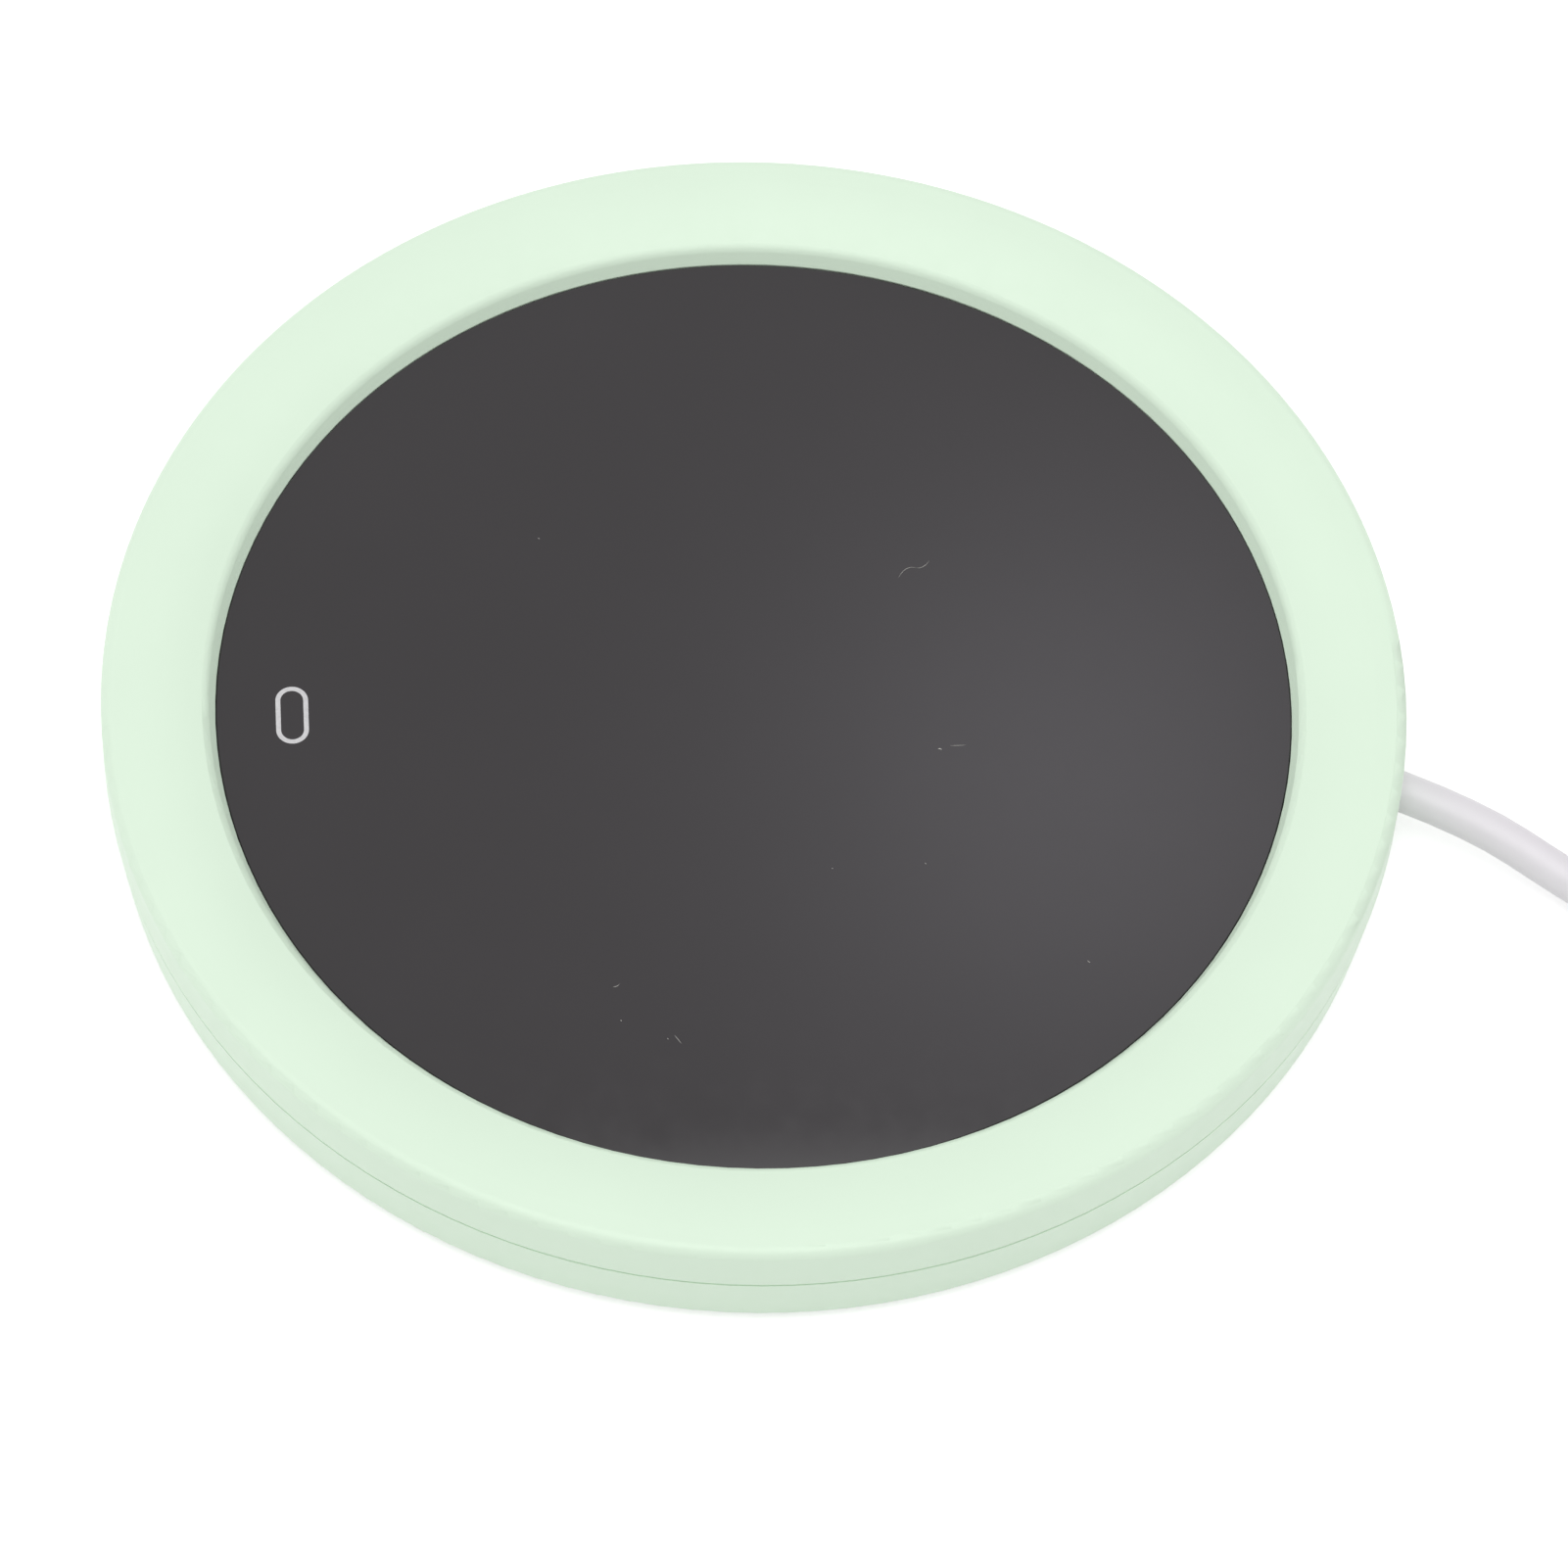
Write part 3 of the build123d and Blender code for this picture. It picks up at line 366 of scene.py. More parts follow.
@dataclass(frozen=True)
class Finish(ABC):
    """How a surface looks.

    Attributes:
        colour: Its colour, linear.
        roughness: Its mean roughness.
        metallic: 1 for bare metal.
    """

    colour: Colour
    roughness: float
    metallic: ClassVar[float] = 0.0

    @abstractmethod
    def add_detail(self, recipe: Recipe) -> None:
        """Adds what sets the finish apart to a plain recipe."""

    def material(self, name: str) -> bpy.types.Material:
        """Makes the material.

        Args:
            name: Its name.

        Returns:
            The material.
        """
        recipe = Recipe(name, self.colour, self.roughness, self.metallic)
        self.add_detail(recipe)
        return recipe.material


@dataclass(frozen=True)
class Moulded(Finish):
    """A moulded plastic or rubber.

    Attributes:
        grain: Size of the tool's grain in millimetres.
        grain_depth: Depth of the grain in millimetres.
        mottle: How far the colour varies over the surface, as a share.
        wave_depth: Depth of the slow waves left by cooling, in millimetres.
    """

    roughness: float = 0.45
    grain: float = 0.16
    grain_depth: float = 0.002
    mottle: float = 0.012
    wave_depth: float = 0.01

    def add_detail(self, recipe: Recipe) -> None:
        """Adds clouds in the colour, cooling waves and the tool's grain."""
        clouds = recipe.spread(recipe.noise(size=14.0, detail=3.0))
        recipe.mottle(clouds, 1 - self.mottle, 1 + self.mottle)
        recipe.vary_roughness(recipe.noise(size=1.4), below=0.05, above=0.05)
        recipe.emboss(recipe.noise(size=9.0, detail=1.0), self.wave_depth)
        recipe.emboss(recipe.noise(self.grain, detail=1.0), self.grain_depth)


@dataclass(frozen=True)
class DarkGlass(Finish):
    """Toughened glass with an opaque dark print on its back.

    Attributes:
        flow_depth: Depth of the slow waves in the face, in millimetres.
        refraction: The glass's index of refraction.
    """

    roughness: float = 0.035
    flow_depth: float = 0.0012
    refraction: float = 1.5

    def add_detail(self, recipe: Recipe) -> None:
        """Adds the gloss, an uneven print and the face's slow waves."""
        recipe.set("IOR", self.refraction)
        film = recipe.spread(recipe.noise(size=22.0, detail=4.0))
        recipe.mottle(film, darkest=0.94, lightest=1.06)
        recipe.vary_roughness(recipe.noise(size=3.0, detail=3.0), below=0.015, above=0.015)
        recipe.emboss(recipe.noise(size=16.0, detail=1.0), self.flow_depth)


@dataclass(frozen=True)
class Ink(Finish):
    """Screen-printed ink, with the open edge of its mesh.

    Attributes:
        mesh: Pitch of the screen in millimetres.
        mesh_depth: Relief that the screen leaves, in millimetres.
    """

    roughness: float = 0.42
    mesh: float = 0.12
    mesh_depth: float = 0.004

    def add_detail(self, recipe: Recipe) -> None:
        """Adds thin patches and the screen's relief."""
        patches = recipe.spread(recipe.noise(size=0.35, detail=3.0))
        recipe.mottle(patches, darkest=0.9, lightest=1.05)
        recipe.vary_roughness(recipe.noise(size=0.2), below=0.06, above=0.08)
        recipe.emboss(recipe.cells(self.mesh), self.mesh_depth)


@dataclass(frozen=True)
class SheetMetal(Finish):
    """Rolled, drawn or plated metal.

    Attributes:
        line_size: Width of the rolling or polishing lines in millimetres.
        line_turn: Their direction about Z, in degrees.
        line_depth: Their depth in millimetres.
        stretch: Factor along the lines: the smaller, the longer they are.
    """

    metallic: ClassVar[float] = 1.0
    roughness: float = 0.3
    line_size: float = 0.12
    line_turn: float = 0.0
    line_depth: float = 0.001
    stretch: float = 0.04

    def add_detail(self, recipe: Recipe) -> None:
        """Adds the lines and faint stains."""
        along = recipe.stretched((self.stretch, 1.0, 1.0), self.line_turn)
        lines = recipe.noise(self.line_size, detail=3.0, place=along)
        stains = recipe.spread(recipe.noise(size=5.0, detail=4.0))
        recipe.mottle(stains, darkest=0.9, lightest=1.04)
        recipe.vary_roughness(lines, below=0.08, above=0.08)
        recipe.emboss(lines, self.line_depth)


@dataclass(frozen=True)
class FilmSheet(Finish):
    """Thin insulating film, adhesive tape or a filled rubber pad.

    Attributes:
        speck: Size of its filler or bubbles in millimetres.
        speck_depth: Their relief in millimetres.
        contrast: How far the specks change the colour, as a share.
        coat: Weight of a smooth face over it.
    """

    roughness: float = 0.4
    speck: float = 0.3
    speck_depth: float = 0.004
    contrast: float = 0.08
    coat: float = 0.0

    def add_detail(self, recipe: Recipe) -> None:
        """Adds the specks and the smooth face."""
        specks = recipe.cells(self.speck)
        share = recipe.spread(specks, start=0.0, end=0.8)
        recipe.mottle(share, 1 - self.contrast, 1 + self.contrast)
        recipe.vary_roughness(recipe.noise(size=2.0), below=0.06, above=0.06)
        recipe.emboss(specks, self.speck_depth)
        recipe.set("Coat Weight", self.coat)


@dataclass(frozen=True)
class PressedFelt(Finish):
    """Pressed fibre felt.

    Attributes:
        fibre: Thickness of its fibres in millimetres.
        fibre_depth: Their relief in millimetres.
        fibre_turns: The two directions in which they lie about Z, in degrees.
        stretch: Factor along the fibres: the smaller, the longer they are.
    """

    roughness: float = 0.95
    fibre: float = 0.07
    fibre_depth: float = 0.06
    fibre_turns: tuple[float, float] = (25.0, 110.0)
    stretch: float = 0.09

    def add_detail(self, recipe: Recipe) -> None:
        """Adds fibres in two directions, lumps and fuzz."""
        layers = []
        for turn in self.fibre_turns:
            along = recipe.stretched((self.stretch, 1.0, 1.0), turn)
            layers.append(recipe.noise(self.fibre, place=along))
        recipe.mottle(recipe.spread(layers[0]), darkest=0.72, lightest=1.15)
        for layer in layers:
            recipe.emboss(layer, self.fibre_depth)
        recipe.emboss(recipe.noise(size=2.5), depth=0.12)
        recipe.set("Sheen Weight", 0.4)
        recipe.set("Sheen Roughness", 0.6)


@dataclass(frozen=True)
class BoardMask(Finish):
    """Solder mask over copper tracks, coloured as it is over bare board.

    Attributes:
        track_colour: The mask over copper, linear.
        track_pitch: Distance between tracks in millimetres.
        track_depth: How far they stand up, in millimetres.
    """

    roughness: float = 0.32
    track_colour: Colour = field(kw_only=True)
    track_pitch: float = 1.1
    track_depth: float = 0.03

    def add_detail(self, recipe: Recipe) -> None:
        """Adds the tracks and the weave of the board."""
        across = recipe.bands(self.track_pitch, recipe.stretched((1.0, 1.0, 0.0)), warp=0.6)
        tracks = recipe.spread(across, start=0.58, end=0.66)
        recipe.mix_colours(self.colour, self.track_colour, tracks)
        recipe.emboss(tracks, self.track_depth)
        weave = recipe.noise(size=0.25, detail=1.0, place=recipe.stretched((1.0, 0.3, 1.0)))
        recipe.emboss(weave, depth=0.004)
        recipe.vary_roughness(recipe.noise(size=1.0), below=0.04, above=0.06)


@dataclass(frozen=True)
class ClearPart(Finish):
    """Clear or tinted moulded plastic.

    Attributes:
        transmission: Share of light that passes into it.
        glow: Strength of its own light.
        refraction: Its index of refraction.
    """

    roughness: float = 0.12
    transmission: float = 0.9
    glow: float = 0.0
    refraction: float = 1.49

    def add_detail(self, recipe: Recipe) -> None:
        """Makes it clear, slightly uneven and, where it shines, a light."""
        recipe.set("Transmission Weight", self.transmission)
        recipe.set("IOR", self.refraction)
        recipe.vary_roughness(recipe.noise(size=0.8, detail=3.0), below=0.04, above=0.08)
        recipe.emboss(recipe.noise(size=1.6), depth=0.006)
        if self.glow > 0:
            recipe.set("Emission Color", (*self.colour, 1.0))
            recipe.set("Emission Strength", self.glow)


@dataclass(frozen=True)
class WovenStrap(Finish):
    """A narrow woven strap.

    Attributes:
        pitch: Distance between its ribs in millimetres.
        turn: Direction of the ribs about Z, in degrees.
    """

    roughness: float = 0.8
    pitch: float = 0.5
    turn: float = 25.0

    def add_detail(self, recipe: Recipe) -> None:
        """Adds the ribs, painted shade in the valleys between them, the threads across them and
        fuzz.
        """
        ribs = recipe.bands(self.pitch, recipe.stretched((1.0, 1.0, 1.0), self.turn))
        cross = recipe.bands(self.pitch, recipe.stretched((1.0, 1.0, 1.0), self.turn + 90.0))
        # Painted shade: the colour darkens to 0.7 towards the valleys between the ribs, where the
        # relief below sinks.
        recipe.mottle(ribs, darkest=0.7, lightest=1.1)
        recipe.emboss(ribs, depth=0.05)
        recipe.emboss(cross, depth=0.03)
        recipe.emboss(recipe.noise(size=0.08), depth=0.01)
        recipe.set("Sheen Weight", 0.3)


class Slot(Enum):
    """The material slots."""

    MINT_SHELL = "mint_shell"
    DARK_GLASS = "dark_glass"
    KEY_PRINT = "key_print"
    TAPE = "tape"
    THERMAL_PAD = "thermal_pad"
    SPREADER = "spreader"
    FILM = "film"
    FOIL = "foil"
    FELT = "felt"
    SENSOR = "sensor"
    SENSOR_WIRE = "sensor_wire"
    HEATER_WIRE = "heater_wire"
    RED_WIRE = "red_wire"
    BLACK_WIRE = "black_wire"
    BOARD = "board"
    SCREW = "screw"
    CHIP = "chip"
    CAPACITOR = "capacitor"
    RESISTOR = "resistor"
    LIGHT = "light"
    CLEAR_PLASTIC = "clear_plastic"
    SPRING_STEEL = "spring_steel"
    SOLDER = "solder"
    SILICONE = "silicone"
    CORD_JACKET = "cord_jacket"
    STRAP = "strap"
    PLUG_GRIP = "plug_grip"
    PLUG_METAL = "plug_metal"
    PLUG_INSULATOR = "plug_insulator"
    GOLD_CONTACT = "gold_contact"


MINT = tone(225, 245, 224)
JACKET_WHITE = tone(232, 228, 233)

FINISHES: dict[Slot, Finish] = {
    Slot.MINT_SHELL: Moulded(
        MINT, roughness=0.42, grain=0.17, grain_depth=0.0018, mottle=0.008, wave_depth=0.012
    ),
    Slot.DARK_GLASS: DarkGlass((0.0205, 0.0170, 0.0197)),
    Slot.KEY_PRINT: Ink(tone(208, 207, 209)),
    Slot.TAPE: FilmSheet(
        tone(62, 62, 62), roughness=0.8, speck=0.25, speck_depth=0.02, contrast=0.15
    ),
    Slot.THERMAL_PAD: FilmSheet(
        tone(150, 158, 168), roughness=0.6, speck=0.2, speck_depth=0.008, contrast=0.1
    ),
    Slot.SPREADER: SheetMetal(
        (0.78, 0.79, 0.80), roughness=0.34, line_size=0.14, line_turn=15.0, line_depth=0.0014
    ),
    Slot.FILM: FilmSheet(
        tone(196, 126, 40), roughness=0.28, speck=1.2, speck_depth=0.003, contrast=0.06, coat=0.5
    ),
    Slot.FOIL: SheetMetal(
        (0.62, 0.60, 0.56),
        roughness=0.36,
        line_size=0.2,
        line_turn=70.0,
        line_depth=0.002,
        stretch=0.1,
    ),
    Slot.FELT: PressedFelt(tone(188, 184, 174)),
    Slot.SENSOR: Moulded(
        tone(60, 44, 36), roughness=0.22, grain=0.4, grain_depth=0.01, mottle=0.08, wave_depth=0.02
    ),
    Slot.SENSOR_WIRE: Moulded(tone(232, 226, 204), roughness=0.38, grain=0.2, mottle=0.03),
    Slot.HEATER_WIRE: Moulded(tone(228, 227, 222), grain=0.1, grain_depth=0.006, mottle=0.06),
    Slot.RED_WIRE: Moulded(tone(186, 30, 30), roughness=0.36, grain=0.2, mottle=0.03),
    Slot.BLACK_WIRE: Moulded(tone(34, 34, 36), roughness=0.36, grain=0.2, mottle=0.05),
    Slot.BOARD: BoardMask(tone(28, 84, 52), track_colour=tone(50, 116, 70)),
    Slot.SCREW: SheetMetal(
        (0.60, 0.60, 0.58), roughness=0.32, line_size=0.1, line_depth=0.0016, stretch=0.3
    ),
    Slot.CHIP: Moulded(
        tone(38, 38, 40), roughness=0.55, grain=0.06, grain_depth=0.003, mottle=0.06
    ),
    Slot.CAPACITOR: Moulded(tone(168, 140, 104), roughness=0.4, grain=0.08, mottle=0.05),
    Slot.RESISTOR: Moulded(tone(40, 40, 44), roughness=0.35, grain=0.08, mottle=0.05),
    Slot.LIGHT: ClearPart(tone(240, 236, 200), roughness=0.2, transmission=0.5, glow=0.15),
    Slot.CLEAR_PLASTIC: ClearPart((0.93, 0.95, 0.94)),
    Slot.SPRING_STEEL: SheetMetal(
        (0.66, 0.65, 0.62), roughness=0.26, line_size=0.05, line_depth=0.0006, stretch=0.4
    ),
    Slot.SOLDER: SheetMetal((0.70, 0.71, 0.72), line_size=0.5, line_depth=0.006, stretch=0.8),
    Slot.SILICONE: Moulded(
        tone(214, 216, 214), roughness=0.7, grain=0.09, grain_depth=0.003, mottle=0.02
    ),
    Slot.CORD_JACKET: Moulded(
        JACKET_WHITE, roughness=0.38, grain=0.12, grain_depth=0.0014, wave_depth=0.006
    ),
    Slot.STRAP: WovenStrap(tone(206, 206, 204)),
    Slot.PLUG_GRIP: Moulded(tone(230, 228, 229), roughness=0.5, grain=0.15, grain_depth=0.003),
    Slot.PLUG_METAL: SheetMetal(
        (0.72, 0.70, 0.66), roughness=0.24, line_size=0.1, line_turn=-45.0, line_depth=0.0008
    ),
    Slot.PLUG_INSULATOR: Moulded(
        tone(238, 238, 236), roughness=0.4, grain=0.1, grain_depth=0.001, mottle=0.01
    ),
    Slot.GOLD_CONTACT: SheetMetal(
        (0.86, 0.64, 0.28), roughness=0.22, line_size=0.08, line_turn=-45.0, line_depth=0.0006
    ),
}

DUST = Moulded(tone(205, 203, 198), roughness=0.9, grain=0.05, grain_depth=0.01, mottle=0.1)


class Finishes:
    """Makes each slot's material once and hands it out."""

    def __init__(self) -> None:
        self._made: dict[Slot, bpy.types.Material] = {}

    def of(self, slot: Slot) -> bpy.types.Material:
        """Finds the material of a slot.

        Args:
            slot: The slot.

        Returns:
            Its material.
        """
        if slot not in self._made:
            self._made[slot] = FINISHES[slot].material(slot.value)
        return self._made[slot]

    def dress_node(self, node: bpy.types.Object, slot: Slot) -> None:
        """Gives a CAD node its material."""
        for place in node.material_slots:
            place.material = self.of(slot)

    def dress_piece(self, piece: bpy.types.Object, slot: Slot) -> None:
        """Gives a new piece its material."""
        piece.data.materials.append(self.of(slot))


def add_object(name: str, data: bpy.types.ID) -> bpy.types.Object:
    """Links a new object into the scene and lets it ride on the root body.

    Args:
        name: The piece's name.
        data: Its mesh or curve.

    Returns:
        The object.
    """
    piece = bpy.data.objects.new(name, data)
    bpy.context.scene.collection.objects.link(piece)
    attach(piece, ROOT)
    return piece


# --- Sub-assemblies -------------------------------------------------------------------------------


@dataclass
class DressedNodes:
    """CAD nodes that keep their shape and get their finish.

    Attributes:
        name: The sub-assembly's name.
        slots: The slot of each node.
    """

    name: str
    slots: dict[str, Slot]

    def dress(self, nodes: dict[str, bpy.types.Object], finishes: Finishes) -> None:
        """Gives each node its finish.

        Args:
            nodes: The CAD nodes by name.
            finishes: Where the materials come from.
        """
        for node_name, slot in self.slots.items():
            finishes.dress_node(nodes[node_name], slot)
            LOG.info("%s: %s in %s", self.name, node_name, slot.value)


HOUSING = DressedNodes("housing", {"top_housing": Slot.MINT_SHELL, "bottom_cover": Slot.MINT_SHELL})

PANEL = DressedNodes(
    "panel",
    {"glass_panel": Slot.DARK_GLASS, "touch_mark": Slot.KEY_PRINT, "glass_tape": Slot.TAPE},
)

HEATER = DressedNodes(
    "heater",
    {
        "thermal_pad": Slot.THERMAL_PAD,
        "heat_spreader": Slot.SPREADER,
        "heating_film": Slot.FILM,
        "heater_track": Slot.FOIL,
        "insulation_pad": Slot.FELT,
        "temperature_sensor": Slot.SENSOR,
    },
)

WIRING = DressedNodes(
    "wiring",
    {
        "sensor_leads": Slot.SENSOR_WIRE,
        "heater_leads": Slot.HEATER_WIRE,
        "supply_wire": Slot.RED_WIRE,
        "return_wire": Slot.BLACK_WIRE,
        "solder_joints": Slot.SOLDER,
    },
)

CONTROL = DressedNodes(
    "control",
    {
        "control_board": Slot.BOARD,
        "board_screws": Slot.SCREW,
        "controller_chip": Slot.CHIP,
        "power_transistor": Slot.CHIP,
        "board_capacitors": Slot.CAPACITOR,
        "board_resistors": Slot.RESISTOR,
        "indicator_light": Slot.LIGHT,
        "light_guide": Slot.CLEAR_PLASTIC,
        "touch_spring": Slot.SPRING_STEEL,
    },
)

FASTENINGS = DressedNodes("fastenings", {"housing_screws": Slot.SCREW, "feet": Slot.SILICONE})

PLUG = DressedNodes(
    "plug",
    {
        "cord_collar": Slot.CORD_JACKET,
        "coil_tie": Slot.STRAP,
        "plug_body": Slot.PLUG_GRIP,
        "plug_shell": Slot.PLUG_METAL,
        "plug_tongue": Slot.PLUG_INSULATOR,
        "plug_contacts": Slot.GOLD_CONTACT,
    },
)


@dataclass
class Lead:
    """The low-voltage lead: out of the housing, wound up beside it, and on to the plug.

    Attributes:
        radius: Radius of the jacket.
        length: The real lead's length; not used.
        exit_place: Where it leaves the housing; not used.
        way_out: Points from inside the housing to the coil's straight end.
        coil_centre: The coil's centre in plan.
        coil_start: Bearing at which the lead meets the coil's outer turn, in degrees.
        coil_end: Bearing at which it leaves the outer turn of the upper layer.
        lane_radii: Radius of each turn, in winding order.
        low: Height of the lower layer.
        high: Height of the upper layer.
        first_high_turn: Number of the first turn in the upper layer.
        shift_angle: Over how many degrees at its end a turn moves over to the next.
        rise_dip: How far the rising strand keeps inside the inner turn.
        steps: Control points to a turn.
        way_on: Points from the coil to the plug.
        curve_order: Order of the curve through the control points.
        curve_steps: Straight lengths from one control point to the next.
        round_steps: How round the jacket is: it has four faces and two more for each step.
    """

    radius: float = 1.9
    length: float = 1066.0
    exit_place: Point = (8.692, 59.367, 5.2)
    way_out: tuple[Point, ...] = (
        (5.488, 51.819, 5.2),
        (10.841, 64.430, 5.2),
        (18.701, 75.699, 2.4),
    )
    coil_centre: PlanPoint = (13.052, 111.837)
    coil_start: float = -38.0
    coil_end: float = 30.0
    lane_radii: tuple[float, ...] = (26.7, 22.9, 19.1, 15.3, 15.3, 19.1, 22.9, 26.7)
    low: float = 2.4
    high: float = 6.2
    first_high_turn: int = 4
    shift_angle: float = 120.0
    rise_dip: float = 1.4
    steps: int = 24
    way_on: tuple[Point, ...] = (
        (23.475, 147.184, 6.2),
        (15.162, 152.737, 5.72),
        (5.242, 154.037, 4.64),
        (-4.228, 150.827, 3.8),
        (-11.228, 143.827, 3.8),
    )
    curve_order: int = 3
    curve_steps: int = 6
    round_steps: int = 7

    def _layer(self, turn: int) -> float:
        """The height of the layer that a turn lies in."""
        return self.low if turn < self.first_high_turn else self.high

    def _lane(self, turned: float) -> tuple[float, float]:
        """Finds where a strand of the coil runs.

        Args:
            turned: Degrees wound since the coil's start.

        Returns:
            Its radius and its height.
        """
        last = len(self.lane_radii) - 1
        turn = min(int(turned // FULL_TURN), last)
        follower = min(turn + 1, last)
        shift_start = FULL_TURN - self.shift_angle
        share = max(0.0, (turned - FULL_TURN * turn - shift_start) / self.shift_angle)
        eased = ease(share)
        here, there = self.lane_radii[turn], self.lane_radii[follower]
        low_here, low_there = self._layer(turn), self._layer(follower)
        radius = here + (there - here) * eased
        if low_here != low_there:
            radius -= self.rise_dip * math.sin(math.pi * share)
        return radius, low_here + (low_there - low_here) * eased

    def _coil_points(self) -> list[Point]:
        """Lists the control points of the coil's turns.

        They stand out a little, so that the curve between them runs in its lane.

        Returns:
            The points, in winding order.
        """
        total = FULL_TURN * (len(self.lane_radii) - 1) + self.coil_end - self.coil_start
        count = round(total / FULL_TURN * self.steps)
        widen = 1 / math.cos(math.pi / self.steps)
        points = []
        for number in range(count + 1):
            turned = total * number / count
            radius, height = self._lane(turned)
            bearing = math.radians(self.coil_start + turned)
            x = self.coil_centre[0] + widen * radius * math.cos(bearing)
            y = self.coil_centre[1] + widen * radius * math.sin(bearing)
            points.append((x, y, height))
        return points

    def _curve(self, points: list[Point]) -> bpy.types.Curve:
        """Makes the smooth, round curve.

        Args:
            points: Its control points.

        Returns:
            The curve.
        """
        data = bpy.data.curves.new("lead", "CURVE")
        data.dimensions = "3D"
        data.resolution_u = self.curve_steps
        data.bevel_depth = 1.0  # times each point's radius
        data.bevel_resolution = self.round_steps
        data.use_fill_caps = True
        spline = data.splines.new("NURBS")
        spline.points.add(len(points) - 1)
        for place, point in zip(spline.points, points):
            place.co = (*(value * MM for value in point), 1.0)
            place.radius = self.radius * MM
        spline.order_u = self.curve_order
        spline.use_endpoint_u = True
        spline.use_smooth = True
        return data

    def build(self, finishes: Finishes, nodes: dict[str, bpy.types.Object]) -> None:
        """Args:
            finishes: Where its jacket's material comes from.
            nodes: The CAD nodes, of which the plug and the tie lie on it; not used.
        """
        points = [*self.way_out, *self._coil_points(), *self.way_on]
        lead = add_object("lead", self._curve(points))
        finishes.dress_piece(lead, Slot.CORD_JACKET)
        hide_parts("cord_lead", "cord_coil", "cord_tail")
        LOG.info("lead: %d control points", len(points))


@dataclass(frozen=True)
class Lint:
    """One thread or crumb of lint on the glass.

    Attributes:
        path: Its start, the point that it bends towards and its end, in plan.
        thickness: Its thickness.
    """

    path: tuple[PlanPoint, PlanPoint, PlanPoint]
    thickness: float = 0.035


@dataclass
class GlassDust:
    """A few threads and crumbs that lie on the glass.

    Attributes:
        sides: Number of faces round a thread.
        segments: Number of lengths along it.
        end_share: Thickness at its ends, as a share of the middle's.
        unevenness: How far the thickness varies, as a share.
        seed: Seed of that variation.
        bits: The threads and crumbs.
    """

    sides: int = 6
    segments: int = 10
    end_share: float = 0.3
    unevenness: float = 0.2
    seed: int = 7
    bits: tuple[Lint, ...] = (
        Lint(((-13.10, 14.18), (-14.45, 14.90), (-14.10, 15.92))),
        Lint(((-14.10, 15.92), (-13.95, 16.60), (-14.86, 17.15))),
        Lint(((5.98, 16.55), (5.90, 16.70), (6.05, 16.88)), thickness=0.09),
        Lint(((5.63, 17.66), (5.68, 18.50), (5.63, 19.10))),
        Lint(((30.18, -14.47), (30.22, -14.10), (29.89, -13.88)), thickness=0.05),
        Lint(((33.66, -13.96), (33.73, -13.90), (33.80, -13.88)), thickness=0.07),
        Lint(((35.45, -9.18), (35.80, -8.95), (36.34, -8.61)), thickness=0.04),
        Lint(((35.70, -9.86), (35.78, -9.81), (35.84, -9.76)), thickness=0.06),
        Lint(((29.10, 28.50), (29.30, 28.60), (29.32, 28.74)), thickness=0.05),
        Lint(((-18.78, -19.20), (-18.70, -19.10), (-18.64, -19.05)), thickness=0.05),
        Lint(((18.18, 14.50), (18.26, 14.54), (18.33, 14.60)), thickness=0.05),
        Lint(((18.45, 5.96), (18.42, 6.04), (18.48, 6.12)), thickness=0.05),
    )

    def _half_thickness(self, bit: Lint, share: float, random: Random) -> float:
        """Finds half a thread's thickness at one place.

        Args:
            bit: The thread.
            share: The place, from 0 at its start to 1 at its end.
            random: Source of its unevenness.

        Returns:
            Half the thickness.
        """
        fullness = self.end_share + (1 - self.end_share) * math.sin(math.pi * share)
        uneven = random.uniform(1 - self.unevenness, 1 + self.unevenness)
        return bit.thickness / 2 * fullness * uneven

    def _add_bit(self, mesh: bmesh.types.BMesh, bit: Lint, level: float, random: Random) -> None:
        """Adds one closed, tapered thread along its bend.

        Args:
            mesh: The mesh to add to.
            bit: The thread.
            level: Height of the glass's face.
            random: Source of its unevenness.
        """
        start, bend, end = (Vector((*place, 0.0)) for place in bit.path)
        up = Vector((0.0, 0.0, 1.0))
        rings = []
        for number in range(self.segments + 1):
            share = number / self.segments
            along = ((1 - share) * (bend - start) + share * (end - bend)).normalized()
            side = up.cross(along)
            half = self._half_thickness(bit, share, random)
            middle = (1 - share) ** 2 * start + 2 * share * (1 - share) * bend + share**2 * end
            middle.z = level + half
            ring = []
            for step in range(self.sides):
                angle = 2 * math.pi * step / self.sides
                corner = middle + side * half * math.cos(angle) + up * half * math.sin(angle)
                ring.append(mesh.verts.new(corner * MM))
            rings.append(ring)
        for before, after in zip(rings, rings[1:]):
            for step in range(self.sides):
                following = (step + 1) % self.sides
                mesh.faces.new((before[step], before[following], after[following], after[step]))
        mesh.faces.new(list(reversed(rings[0])))
        mesh.faces.new(rings[-1])

    def build(self) -> None:
        """Builds the dust as one piece."""
        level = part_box("glass_panel")[1][2] / MM
        random = Random(self.seed)
        mesh = bmesh.new()
        for bit in self.bits:
            self._add_bit(mesh, bit, level, random)
        bmesh.ops.recalc_face_normals(mesh, faces=mesh.faces)
        data = bpy.data.meshes.new("glass_dust")
        mesh.to_mesh(data)
        mesh.free()
        dust = add_object("glass_dust", data)
        dust.data.materials.append(DUST.material("dust"))
        LOG.info("dust: %d bits", len(self.bits))


# --- Studio ---------------------------------------------------------------------------------------


